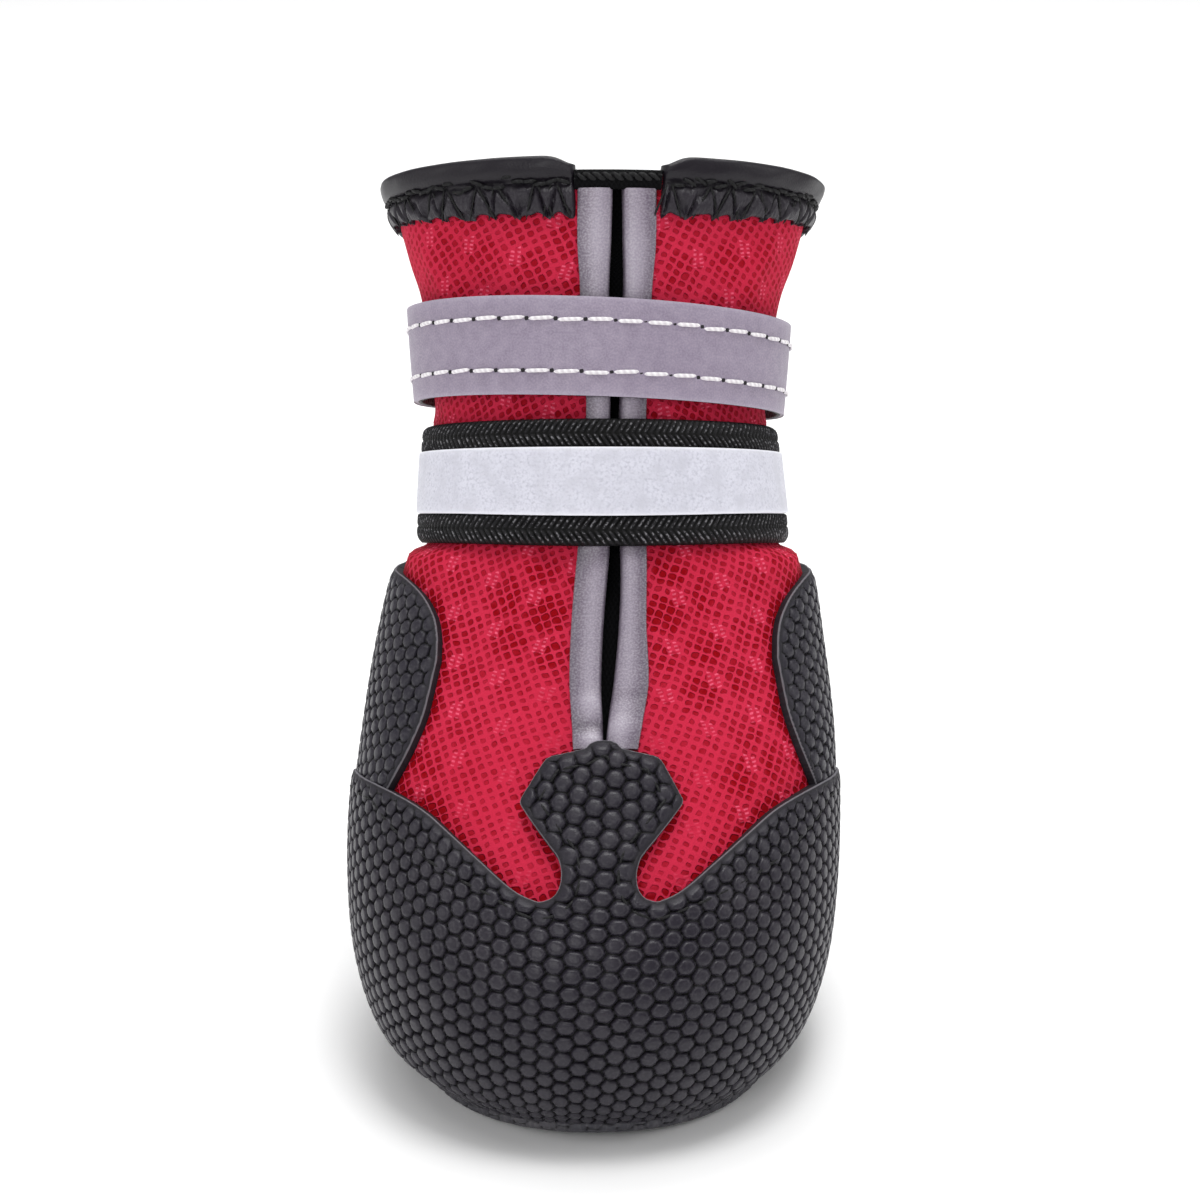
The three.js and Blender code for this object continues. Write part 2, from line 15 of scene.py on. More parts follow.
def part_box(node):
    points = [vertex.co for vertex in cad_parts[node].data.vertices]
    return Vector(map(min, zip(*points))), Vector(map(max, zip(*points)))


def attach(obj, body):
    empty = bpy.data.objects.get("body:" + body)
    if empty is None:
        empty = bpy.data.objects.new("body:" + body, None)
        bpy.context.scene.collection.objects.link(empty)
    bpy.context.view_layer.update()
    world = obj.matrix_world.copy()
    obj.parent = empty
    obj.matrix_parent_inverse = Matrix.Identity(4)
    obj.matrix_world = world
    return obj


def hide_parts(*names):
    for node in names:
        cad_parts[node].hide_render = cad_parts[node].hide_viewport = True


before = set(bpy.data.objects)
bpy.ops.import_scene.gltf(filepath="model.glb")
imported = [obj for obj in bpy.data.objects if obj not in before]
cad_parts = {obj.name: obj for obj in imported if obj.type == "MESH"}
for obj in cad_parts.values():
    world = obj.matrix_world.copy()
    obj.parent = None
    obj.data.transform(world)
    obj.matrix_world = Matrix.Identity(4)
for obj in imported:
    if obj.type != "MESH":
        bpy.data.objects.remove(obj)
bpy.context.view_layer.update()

# %% [markdown]
# ## The last
# A shoemaker builds everything round one wooden foot, the last, and so does this script. The last is a
# short table of sections from the sole to the collar with smooth curves between them. A scan or a
# sculpt would hold more bumps, but a table keeps each piece tied to the same few sizes. A place on it
# is a turn in degrees, 0 at the front and 90 at the right, and a level, 0 at the sole and 1 at the top.

# %% Sizes of the last in millimetres
MM = 0.001
FOOT_LENGTH = 86.0
LAST_WIDTH = 68.5
COLLAR_HEIGHT = 128.0
TOE_SPRING = 2.4
SPRING_RUN = 22.0
CLEARANCE = 0.3
SOLE_THICKNESS = 3.5
CAP_THICKNESS = 1.8
COUNTER_THICKNESS = 1.2
UPPER_WALL = 1.8
UPPER_FOOT = SOLE_THICKNESS + CLEARANCE
# front and back are shares of the foot's length, frontUp and backUp of the upper's height, width and
# sway of the last's width, and widest of the section's own length. square is 2 for an ellipse.
LAST_COLUMNS = ("front", "back", "front_up", "back_up", "width", "widest", "square", "sway")
LAST_ROWS = (
    (0.060, 0.935, 0.000, 0.000, 0.770, 0.47, 2.10, -0.012),
    (0.014, 0.972, 0.039, 0.041, 0.905, 0.47, 2.12, -0.018),
    (0.000, 0.990, 0.103, 0.108, 0.975, 0.47, 2.15, -0.018),
    (0.025, 0.995, 0.186, 0.175, 1.000, 0.46, 2.15, -0.016),
    (0.100, 0.993, 0.273, 0.242, 1.005, 0.46, 2.15, -0.012),
    (0.212, 0.985, 0.366, 0.314, 0.985, 0.46, 2.15, -0.004),
    (0.335, 0.980, 0.464, 0.392, 0.940, 0.47, 2.15, 0.000),
    (0.428, 0.983, 0.551, 0.459, 0.880, 0.48, 2.10, 0.006),
    (0.468, 0.990, 0.600, 0.497, 0.780, 0.48, 2.10, 0.006),
    (0.485, 1.000, 0.634, 0.526, 0.738, 0.49, 2.10, 0.003),
    (0.512, 1.018, 0.696, 0.582, 0.715, 0.50, 2.10, 0.000),
    (0.540, 1.040, 0.758, 0.639, 0.730, 0.50, 2.10, 0.000),
    (0.562, 1.062, 0.809, 0.688, 0.750, 0.50, 2.10, 0.000),
    (0.592, 1.098, 0.881, 0.755, 0.795, 0.50, 2.10, 0.003),
    (0.612, 1.128, 0.928, 0.797, 0.850, 0.50, 2.10, 0.004),
    (0.645, 1.175, 1.000, 0.866, 0.925, 0.50, 2.10, 0.004),
)
LAST_TABLE = [(i / (len(LAST_ROWS) - 1), *row) for i, row in enumerate(LAST_ROWS)]


# %% The last's surface
def smooth_row(table, at):
    """A table's further columns at a value of its first one, on a smooth curve through its rows."""
    table = np.asarray(table, float)
    keys = table[:, 0]
    at = np.clip(np.asarray(at, float), keys[0], keys[-1])
    i = np.clip(np.searchsorted(keys, at, side="right") - 1, 0, len(keys) - 2)
    before = np.maximum(i - 1, 0)
    after = np.minimum(i + 2, len(keys) - 1)
    step = keys[i + 1] - keys[i]
    start, end = table[i, 1:], table[i + 1, 1:]
    rise = (end - table[before, 1:]) * (step / (keys[i + 1] - keys[before]))[..., None]
    fall = (table[after, 1:] - start) * (step / (keys[after] - keys[i]))[..., None]
    t = ((at - keys[i]) / step)[..., None]
    return (start * (2 * t**3 - 3 * t**2 + 1) + rise * (t**3 - 2 * t**2 + t)
            + end * (3 * t**2 - 2 * t**3) + fall * (t**3 - t**2))


def eased(share):
    """A share from 0 to 1 with a soft start and end."""
    return share * share * (3 - 2 * share)


def rounded(value, power):
    return np.sign(value) * np.abs(value) ** power


def spring_at(y):
    """How far the toe lifts off the floor at this place along the foot."""
    return TOE_SPRING * np.maximum(0, 1 - y / SPRING_RUN) ** 2


def paired(turn, level):
    """Both numbers as arrays of one shape."""
    return np.broadcast_arrays(np.asarray(turn, float), np.asarray(level, float))


def last_point(turn, level):
    turn, level = paired(turn, level)
    section = dict(zip(LAST_COLUMNS, np.moveaxis(smooth_row(LAST_TABLE, level), -1, 0)))
    angle = np.radians(turn)
    across = rounded(np.sin(angle), 2 / section["square"])
    along = rounded(np.cos(angle), 2 / section["square"])
    length = section["back"] - section["front"]
    reach = np.where(along > 0, section["widest"], 1 - section["widest"]) * length
    share = section["front"] + section["widest"] * length - reach * along
    backward = (share - section["front"]) / length
    up = section["front_up"] + (section["back_up"] - section["front_up"]) * backward
    y = FOOT_LENGTH * share
    x = LAST_WIDTH * (section["width"] / 2 * across + section["sway"])
    return np.stack([x, y, UPPER_FOOT + (COLLAR_HEIGHT - UPPER_FOOT) * up + spring_at(y)], -1)


def unit(vectors):
    return vectors / np.linalg.norm(vectors, axis=-1, keepdims=True)


# Half the stretch over which a slope of the last is measured, in degrees and as a level
TURN_STEP, LEVEL_STEP = 0.5, 0.003


def up_the_last(turn, level):
    low, high = np.maximum(level - LEVEL_STEP, 0), np.minimum(level + LEVEL_STEP, 1)
    return unit(last_point(turn, high) - last_point(turn, low))


def out_of_last(turn, level):
    turn, level = paired(turn, level)
    around = last_point(turn + TURN_STEP, level) - last_point(turn - TURN_STEP, level)
    return unit(np.cross(around, up_the_last(turn, level)))


def skin(turn, level, offset=0.0):
    """The point this many millimetres off the last's surface."""
    return last_point(turn, level) + out_of_last(turn, level) * np.asarray(offset)[..., None]


# %% The last's place in the frame
RIM_REACH = CLEARANCE + CAP_THICKNESS
rim_quarters = np.array([0.0, 90.0, 180.0, 270.0])
rim_lips = skin(rim_quarters, 0.0, RIM_REACH) - CLEARANCE * up_the_last(rim_quarters, np.zeros(4))
sole_low, sole_high = (np.array(corner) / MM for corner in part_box("sole"))
last_origin = (sole_low + sole_high) / 2 - (rim_lips.min(0) + rim_lips.max(0)) / 2
last_origin[2] = 0
print("toe tip of the last lies at", last_origin.round(3), "mm in the frame")

# %% [markdown]
# ## Millimetres on the surface
# A pattern has to keep its scale on every side. Flat projection would stretch it where the surface
# turns away, and an unwrapped UV map would tear it, so two tables of arc lengths are made: round the
# boot at each level, and up it at each turn. Every piece carries them as the attribute "cloth".

# %% Arc lengths
TURN_STEPS = np.arange(-200.0, 561.0)
LEVEL_STEPS = np.linspace(0, 1, 241)
lattice = last_point(TURN_STEPS[None, :], LEVEL_STEPS[:, None])
round_arc = np.zeros(lattice.shape[:2])
round_arc[:, 1:] = np.linalg.norm(np.diff(lattice, axis=1), axis=-1).cumsum(1)
round_arc -= round_arc[:, np.flatnonzero(TURN_STEPS == 0)]
up_arc = np.zeros(lattice.shape[:2])
up_arc[1:] = np.linalg.norm(np.diff(lattice, axis=0), axis=-1).cumsum(0)


def sample(table, turn, level, turns=TURN_STEPS, levels=LEVEL_STEPS):
    """A value between four neighbours of a table over even turns and levels."""
    across = np.clip((turn - turns[0]) / (turns[1] - turns[0]), 0, len(turns) - 1.001)
    upward = np.clip((level - levels[0]) / (levels[1] - levels[0]), 0, len(levels) - 1.001)
    c, r = across.astype(int), upward.astype(int)
    s, t = across - c, upward - r
    low = table[r, c] * (1 - s) + table[r, c + 1] * s
    high = table[r + 1, c] * (1 - s) + table[r + 1, c + 1] * s
    return low * (1 - t) + high * t


def cloth_place(turn, level):
    """Millimetres round the boot from its front, left of it below zero, and millimetres up it."""
    turn, level = paired(turn, level)
    near = np.where(turn > 180, turn - 360, turn)
    return sample(round_arc, near, level), sample(up_arc, near, level)


def turn_at(distance, level):
    """Turn of the place this many millimetres round the boot at one level."""
    row = [sample(round_arc, TURN_STEPS, np.full(len(TURN_STEPS), level))]
    return np.interp(distance, row[0], TURN_STEPS)


print("round the collar:", round(float(sample(round_arc, np.array([360.0]), np.array([1.0]))[0])), "mm")

# %% [markdown]
# ## Flat patterns
# A patterned sheet is flat before it is sewn, so its pattern should look as if it had been laid over
# the last. Arc lengths alone would shear it at the sides. Blender's unwrapping with the least stretch
# flattens a part of the last as a pattern maker does, and the flat places are kept as millimetres.


# %% Flattening
SHEET_ROWS, SHEET_COLUMNS = 70, 120


def grid_faces(rows, columns, round_columns=False, round_rows=False):
    """Quads over a grid of points. A grid that is closed in a direction has no doubled row there."""
    r, c = np.meshgrid(np.arange(rows - (not round_rows)), np.arange(columns - (not round_columns)),
                       indexing="ij")
    r, c = r.ravel(), c.ravel()
    after, above = (c + 1) % columns, (r + 1) % rows
    return np.stack([r * columns + c, r * columns + after, above * columns + after, above * columns + c], 1)


def flatten(name, turn_range, level_range, upright):
    """A function from turn and level to flat millimetres, straight up at the turn named upright."""
    turns = np.linspace(*turn_range, SHEET_COLUMNS)
    levels = np.linspace(*level_range, SHEET_ROWS)
    shape = (len(levels), len(turns))
    points = last_point(turns[None, :], levels[:, None])
    mesh = bpy.data.meshes.new(name)
    mesh.from_pydata(points.reshape(-1, 3), [], grid_faces(*shape).tolist())
    mesh.uv_layers.new(name="flat")
    sheet = bpy.data.objects.new(name, mesh)
    bpy.context.scene.collection.objects.link(sheet)
    bpy.ops.object.select_all(action="DESELECT")
    sheet.select_set(True)
    bpy.context.view_layer.objects.active = sheet
    bpy.ops.object.mode_set(mode="EDIT")
    bpy.ops.mesh.select_all(action="SELECT")
    bpy.ops.uv.unwrap(method="MINIMUM_STRETCH")
    bpy.ops.object.mode_set(mode="OBJECT")
    corners = np.empty(len(mesh.loops), np.int32)
    mesh.loops.foreach_get("vertex_index", corners)
    loose = np.empty(len(mesh.loops) * 2, np.float32)
    mesh.uv_layers["flat"].data.foreach_get("uv", loose)
    flat = np.zeros((len(corners), 2))
    flat[corners] = loose.reshape(-1, 2)
    flat = flat[:shape[0] * shape[1]].reshape(*shape, 2)
    bpy.data.objects.remove(sheet)
    bpy.data.meshes.remove(mesh)
    real = sum(np.linalg.norm(np.diff(points, axis=k), axis=-1).sum() for k in (0, 1))
    flat *= real / sum(np.linalg.norm(np.diff(flat, axis=k), axis=-1).sum() for k in (0, 1))
    column = np.abs(turns - upright).argmin()
    up = unit(flat[-1, column] - flat[0, column])
    right = np.array([up[1], -up[0]])
    flat = (flat - flat[0, column]) @ np.stack([right, up], 1)
    if flat[0, column + 1, 0] < flat[0, column, 0]:
        flat[..., 0] *= -1
    across, upward = np.moveaxis(flat, -1, 0)
    print(f"{name}: {np.ptp(across):.0f} by {np.ptp(upward):.0f} mm when flat")

    def place(turn, level):
        turn, level = paired(turn, level)
        near = np.where(turn > turn_range[1], turn - 360, turn)
        return sample(across, near, level, turns, levels), sample(upward, near, level, turns, levels)

    return place


# %% [markdown]
# ## The camera
# The photograph looks down at the boot's front from 19 degrees. A long lens from 40 cm keeps the
# mild perspective of a product shot, and a wider one would swell the toe.

# %% Camera
VIEW_ELEVATION = 19.0
VIEW_DISTANCE = 400.0
VIEW_WIDTH = 177.5
AIM = np.array([0.0, 48.0, 66.0])
SENSOR_WIDTH = 36.0

lens = bpy.data.cameras.new("view")
lens.sensor_width = SENSOR_WIDTH
lens.lens = SENSOR_WIDTH * VIEW_DISTANCE / VIEW_WIDTH
lens.clip_start = 0.01
camera = bpy.data.objects.new("view", lens)
bpy.context.scene.collection.objects.link(camera)
bpy.context.scene.camera = camera
tilt = math.radians(VIEW_ELEVATION)
aim = Vector((AIM + last_origin) * MM)
camera.location = aim + Vector((0, -math.cos(tilt), math.sin(tilt))) * VIEW_DISTANCE * MM
camera.rotation_euler = (math.pi / 2 - tilt, 0, 0)
print("lens", round(lens.lens, 1), "mm")


# %% [markdown]
# ## Node trees by name
# Materials could be joined node by node, in a line for each. A small helper that adds a node, feeds
# its sockets and returns its output keeps a material readable as a recipe.

# %% Recipe helper
class Recipe:
    """Adds nodes to one tree. A value is a number, a colour or another node's output."""

    def __init__(self, tree):
        self.tree = tree

    def feed(self, socket, value):
        if isinstance(value, bpy.types.NodeSocket):
            self.tree.links.new(value, socket)
        else:
            socket.default_value = value

    def add(self, kind, inputs=(), **settings):
        node = self.tree.nodes.new("ShaderNode" + kind)
        for name, value in settings.items():
            setattr(node, name, value)
        for socket, value in dict(inputs).items():
            self.feed(node.inputs[socket], value)
        return node

    def math(self, operation, *values):
        return self.add("Math", enumerate(values), operation=operation).outputs[0]

    def times(self, *values):
        return self.math("MULTIPLY", *values)

    def scaled(self, value, factor, shift):
        return self.math("MULTIPLY_ADD", value, factor, shift)

    def turned(self, place, angle):
        inputs = {"Vector": place, "Angle": angle}
        return self.add("VectorRotate", inputs, rotation_type="Z_AXIS").outputs[0]

    def vector(self, operation, *values):
        return self.add("VectorMath", enumerate(values), operation=operation).outputs[0]

    def length(self, value):
        return self.add("VectorMath", {0: value}, operation="LENGTH").outputs["Value"]

    def parts(self, value):
        return self.add("SeparateXYZ", {0: value}).outputs

    def together(self, x, y, z=0.0):
        return self.add("CombineXYZ", {0: x, 1: y, 2: z}).outputs[0]

    def mix(self, share, low, high):
        inputs = {0: share, 6: low, 7: high}
        return self.add("Mix", inputs, data_type="RGBA").outputs[2]

    def between(self, share, low, high):
        inputs = {0: share, 2: low, 3: high}
        return self.add("Mix", inputs, data_type="FLOAT").outputs[0]

    def step(self, value, low, high):
        """0 below low and 1 above high, with a soft slope between."""
        inputs = {"Value": value, "From Min": low, "From Max": high}
        return self.add("MapRange", inputs, interpolation_type="SMOOTHSTEP").outputs[0]

    def noise(self, place, scale, detail=2.0):
        inputs = {"Vector": place, "Scale": scale, "Detail": detail}
        return self.add("TexNoise", inputs).outputs[0]

    def attribute(self, name):
        return self.add("Attribute", attribute_name=name).outputs["Vector"]

    def amount(self, name):
        return self.add("Attribute", attribute_name=name).outputs["Fac"]

    def group(self, name, **inputs):
        node = self.add("Group", node_tree=bpy.data.node_groups[name])
        for socket, value in inputs.items():
            self.feed(node.inputs[socket], value)
        return node.outputs


# %% New groups and materials
def new_group(name, inputs, outputs):
    """An empty node group with named sockets. Returns its recipe, its inputs and its outputs."""
    tree = bpy.data.node_groups.new(name, "ShaderNodeTree")
    for title, kind, value in inputs:
        socket = tree.interface.new_socket(title, in_out="INPUT", socket_type="NodeSocket" + kind)
        socket.default_value = value
    for title in outputs:
        tree.interface.new_socket(title, in_out="OUTPUT", socket_type="NodeSocketFloat")
    given = tree.nodes.new("NodeGroupInput").outputs
    result = tree.nodes.new("NodeGroupOutput").inputs
    return Recipe(tree), given, result


def new_material(name, roughness, **sockets):
    """A material with its Principled shader. Underscores in a socket's name stand for spaces."""
    material = bpy.data.materials.new(name)
    material.use_nodes = True
    shader = material.node_tree.nodes["Principled BSDF"]
    shader.inputs["Roughness"].default_value = roughness
    for socket, value in sockets.items():
        shader.inputs[socket.replace("_", " ")].default_value = value
    return material, Recipe(material.node_tree), shader.inputs


def srgb(code):
    """A colour code such as c5304a in the linear numbers that shaders use."""
    parts = [int(code[i:i + 2], 16) / 255 for i in (0, 2, 4)]
    return (*(((p + 0.055) / 1.055) ** 2.4 if p > 0.04045 else p / 12.92 for p in parts), 1.0)


def set_bump(recipe, sockets, height, depth, strength=1.0):
    """Joins a height from 0 to 1 to the shader's normal. depth is in millimetres."""
    inputs = {"Height": height, "Distance": depth * MM, "Strength": strength}
    recipe.feed(sockets["Normal"], recipe.add("Bump", inputs).outputs[0])


# %% [markdown]
# ## Shared effects
# Honeycomb cells shape the rubber's pillows, the knit's clusters and the sole's tread. Dust lies on
# rubber and on the collar, grain is in nearly every sheet, and twist is in every thread. Copying those
# nodes into each material would work, but a group with named sockets is built once and tuned in each.

# %% Honeycomb group
recipe, given, result = new_group(
    "Honeycomb",
    [("Place", "Vector", (0, 0, 0)), ("Pitch", "Float", 2.75), ("Lean", "Float", 0.0)],
    ["Middle", "Across", "Upward"],
)
turned = recipe.turned(given["Place"], given["Lean"])
pitch = recipe.together(given["Pitch"], given["Pitch"], 1.0)
tile = (math.sqrt(3), 1.0, 1.0)
tiles = recipe.vector("DIVIDE", recipe.vector("DIVIDE", turned, pitch), tile)
half = (0.5, 0.5, 0.5)
offsets = []
for start in (half, (0, 0, 0)):
    inside = recipe.vector("FRACTION", recipe.vector("ADD", tiles, start))
    offsets.append(recipe.vector("MULTIPLY", recipe.vector("SUBTRACT", inside, half), tile))
nearer = recipe.math("LESS_THAN", recipe.length(recipe.vector("MULTIPLY", offsets[0], (1, 1, 0))),
                     recipe.length(recipe.vector("MULTIPLY", offsets[1], (1, 1, 0))))
chosen = recipe.add("Mix", {0: nearer, 4: offsets[1], 5: offsets[0]}, data_type="VECTOR").outputs[1]
sides = recipe.parts(recipe.vector("ABSOLUTE", chosen))
slanted = recipe.math("ADD", recipe.times(sides[0], math.sqrt(3)), sides[1])
straight = recipe.times(sides[1], 2.0)
recipe.feed(result["Middle"], recipe.math("SUBTRACT", 1.0, recipe.math("MAXIMUM", slanted, straight)))
local = recipe.parts(recipe.vector("MULTIPLY", chosen, pitch))
recipe.feed(result["Across"], local[0])
recipe.feed(result["Upward"], local[1])

# %% Dust, grain and twist groups
recipe, given, result = new_group(
    "Dust",
    [("Place", "Vector", (0, 0, 0)), ("Open", "Float", 1.0), ("Amount", "Float", 0.3)],
    ["Mask"],
)
patches = recipe.step(recipe.noise(given["Place"], 0.09, 3.0), 0.42, 0.75)
specks = recipe.step(recipe.noise(given["Place"], 2.3, 4.0), 0.48, 0.66)
lying = recipe.times(recipe.math("ADD", patches, specks), given["Open"])
recipe.feed(result["Mask"], recipe.times(lying, given["Amount"]))

recipe, given, result = new_group(
    "Grain",
    [("Place", "Vector", (0, 0, 0)), ("Size", "Float", 0.2), ("Stretch", "Float", 1.0)],
    ["Fine", "Coarse"],
)
fine = recipe.math("DIVIDE", 1.0, given["Size"])
drawn = recipe.vector("MULTIPLY", given["Place"], recipe.together(1.0, given["Stretch"], 1.0))
recipe.feed(result["Fine"], recipe.noise(drawn, fine, 2.0))
recipe.feed(result["Coarse"], recipe.noise(drawn, recipe.times(fine, 0.16), 3.0))

recipe, given, result = new_group(
    "Twist",
    [("Place", "Vector", (0, 0, 0)), ("Pitch", "Float", 0.5)],
    ["Ply"],
)
run = recipe.parts(given["Place"])
wound = recipe.math("ADD", recipe.math("DIVIDE", run[0], given["Pitch"]), run[1])
wave = recipe.math("SINE", recipe.times(wound, 2 * math.pi))
recipe.feed(result["Ply"], recipe.scaled(wave, 0.5, 0.5))
print("node groups:", [group.name for group in bpy.data.node_groups])

# %% [markdown]
# ## Meshes from grids
# A cloth piece is a grid of places on the last. A piece with a cut shape, such as the toe cap, is a
# grid clipped along its outline. A Boolean cut would do that too, but clipping here also tells how far
# each point lies from the edge, which the margin, the rounding and the stitches all need.


# %% Grid helpers
SHARP_FROM = math.radians(50)


def facing_out(points, faces):
    """The same faces, turned round if they enclose a volume from inside."""
    a, b, c = (points[faces[:, k]] for k in range(3))
    volume = np.einsum("ij,ij->i", a, np.cross(b, c)).sum()
    if faces.shape[1] == 4:
        d = points[faces[:, 3]]
        volume += np.einsum("ij,ij->i", a, np.cross(c, d)).sum()
    return faces if volume > 0 else faces[:, ::-1]


# %% Making a piece
def make_piece(name, points, faces, materials, slot, replaces=(), cloth=None, amounts=(), picks=None):
    """A piece of the boot from points in the last's millimetres. faces is a list of lists."""
    points = np.asarray(points, float).reshape(-1, 3)
    faces = [face for part in faces for face in (part.tolist() if hasattr(part, "tolist") else part)]
    mesh = bpy.data.meshes.new(name)
    mesh.from_pydata((points + last_origin) * MM, [], faces)
    place = np.zeros((len(points), 3))
    if cloth is not None:
        place[:, :2] = np.asarray(cloth, float).reshape(-1, 2)
    mesh.attributes.new("cloth", "FLOAT_VECTOR", "POINT").data.foreach_set("vector", place.ravel())
    for title, values in dict(amounts).items():
        layer = mesh.attributes.new(title, "FLOAT", "POINT")
        layer.data.foreach_set("value", np.broadcast_to(values, len(points)).astype(np.float32))
    for material in materials:
        mesh.materials.append(material)
    if picks is not None:
        mesh.polygons.foreach_set("material_index", picks)
    mesh.polygons.foreach_set("use_smooth", np.ones(len(mesh.polygons), bool))
    mesh.update()
    mesh.set_sharp_from_angle(angle=SHARP_FROM)
    piece = bpy.data.objects.new(name, mesh)
    bpy.context.scene.collection.objects.link(piece)
    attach(piece, "root")
    if replaces:
        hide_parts(*replaces)
    triangles = sum(len(face) - 2 for face in faces)
    print(f"{name}: {triangles} triangles")
    return piece


# %% Sweeping a profile
def swept_faces(stations, around):
    """Faces of a closed profile carried along stations, with both ends closed."""
    sides = grid_faces(stations, around, round_columns=True)
    first = list(range(around))
    last = [(stations - 1) * around + k for k in range(around)]
    return sides, [first[::-1], last]


def cloth_grid(along, across):
    """Two directions of a sheet as one grid of places in millimetres."""
    return np.stack(np.broadcast_arrays(along, across), -1)


def make_swept(name, points, materials, slot, **details):
    """A piece from points [stations, around, 3] of a closed profile."""
    sides, ends = swept_faces(*points.shape[:2])
    flat = points.reshape(-1, 3)
    turned = facing_out(flat, sides)
    if turned is not sides:
        ends = [face[::-1] for face in ends]
    return make_piece(name, flat, [turned, ends], materials, slot, **details)


def lengths_along(line):
    """Millimetres from a line's first point to each of its points."""
    return np.r_[0, np.linalg.norm(np.diff(line, axis=0), axis=-1).cumsum()]


# %% Cutting a grid along an outline
def soften(outline, rounds):
    """Cuts the corners of a closed outline, which rounds them."""
    for _ in range(rounds):
        after = np.roll(outline, -1, 0)
        outline = np.stack([outline * 0.75 + after * 0.25, outline * 0.25 + after * 0.75], 1).reshape(-1, 2)
    return outline


def inside_outline(places, outline):
    """Whether each place lies in a closed outline, by counting the edges to its right."""
    start, end = outline, np.roll(outline, -1, 0)
    flags = []
    for block in np.array_split(places, max(1, len(places) // 8000)):
        x, y = block[:, :1], block[:, 1:]
        crosses = (start[:, 1] > y) != (end[:, 1] > y)
        slope = (end[:, 0] - start[:, 0]) / np.where(end[:, 1] == start[:, 1], 1, end[:, 1] - start[:, 1])
        flags.append((crosses & (x < start[:, 0] + (y - start[:, 1]) * slope)).sum(1) % 2 == 1)
    return np.concatenate(flags)


def distance_to(points, line):
    tree = kdtree.KDTree(len(line))
    for k, point in enumerate(line):
        tree.insert(point, k)
    tree.balance()
    return np.array([tree.find(point)[2] for point in points])


def outline_points(outline, spacing=0.12):
    """Points of an outline on the last, closer together than the spacing in millimetres."""
    closed = np.concatenate([outline, outline[:1]])
    counts = np.linalg.norm(np.diff(last_point(*closed.T), axis=0), axis=-1) / spacing
    line = np.concatenate([np.linspace(a, b, int(n) + 2)[:-1] for a, b, n in zip(closed, closed[1:], counts)])
    return last_point(*line[line[:, 1] >= 0].T)


# %% Clipping
def cut_panel(turns, levels, outline):
    """A grid of places clipped by an outline: places, millimetres to the edge, and triangles."""
    places = np.stack(np.meshgrid(turns, levels), -1).reshape(-1, 2)
    edge = distance_to(last_point(*places.T), outline_points(outline))
    edge[~inside_outline(places, outline)] *= -1
    quads = grid_faces(len(levels), len(turns))
    triangles = np.concatenate([quads[:, [0, 1, 2]], quads[:, [0, 2, 3]]])
    within = (edge > 0)[triangles]
    kept = triangles[within.all(1)].tolist()
    added, known = [], {}

    def crossing(a, b):
        key = (min(a, b), max(a, b))
        if key not in known:
            share = edge[key[0]] / (edge[key[0]] - edge[key[1]])
            known[key] = len(places) + len(added)
            added.append(places[key[0]] + (places[key[1]] - places[key[0]]) * share)
        return known[key]

    for corners, flags in zip(triangles.tolist(), within.tolist()):
        if sum(flags) == 1:
            k = flags.index(True)
            a, b, c = corners[k:] + corners[:k]
            kept.append([a, crossing(a, b), crossing(a, c)])
        elif sum(flags) == 2:
            k = (flags.index(False) + 1) % 3
            a, b, c = corners[k:] + corners[:k]
            kept.append([a, b, crossing(b, c)])
            kept.append([a, crossing(b, c), crossing(a, c)])
    places = np.concatenate([places, added])
    edge = np.concatenate([edge, np.zeros(len(added))])
    used, kept = np.unique(np.array(kept), return_inverse=True)
    return places[used], edge[used], kept.reshape(-1, 3)


# %% Walls down a cut edge
def free_edges(triangles):
    """Directed edges that belong to one triangle only."""
    edges = np.concatenate([triangles[:, [0, 1]], triangles[:, [1, 2]], triangles[:, [2, 0]]])
    scale = triangles.max() + 1
    codes = edges[:, 0] * scale + edges[:, 1]
    return edges[~np.isin(codes, edges[:, 1] * scale + edges[:, 0])]


def walled(places, triangles, offsets, wall_offset):
    """Points of a cut panel with a wall down its edge, their cloth places and all faces."""
    edges = free_edges(triangles)
    rim = np.unique(edges)
    lower = np.zeros(len(places), int)
    lower[rim] = len(places) + np.arange(len(rim))
    a, b = edges.T
    wall = np.stack([b, a, lower[a], lower[b]], 1)
    all_places = np.concatenate([places, places[rim]])
    all_offsets = np.concatenate([offsets, np.full(len(rim), wall_offset)])
    return skin(*all_places.T, all_offsets), all_places, [triangles, wall], rim


# %% [markdown]
# ## Threads
# A stitch is a short piece of cord that dives into the cloth at both ends. A curve object with a bevel
# makes one quickly, but hundreds are lighter as one mesh, so all stitches of a kind are built at once
# from the same few rings.


# %% Stitch builder
# How far the twist of each thread starts from its neighbour's, in millimetres
PLY_SHIFT = 0.37
# How blunt a stitch's ends are, and how much thinner they are than its middle
BLUNTNESS, END_TAPER = 6, 0.9


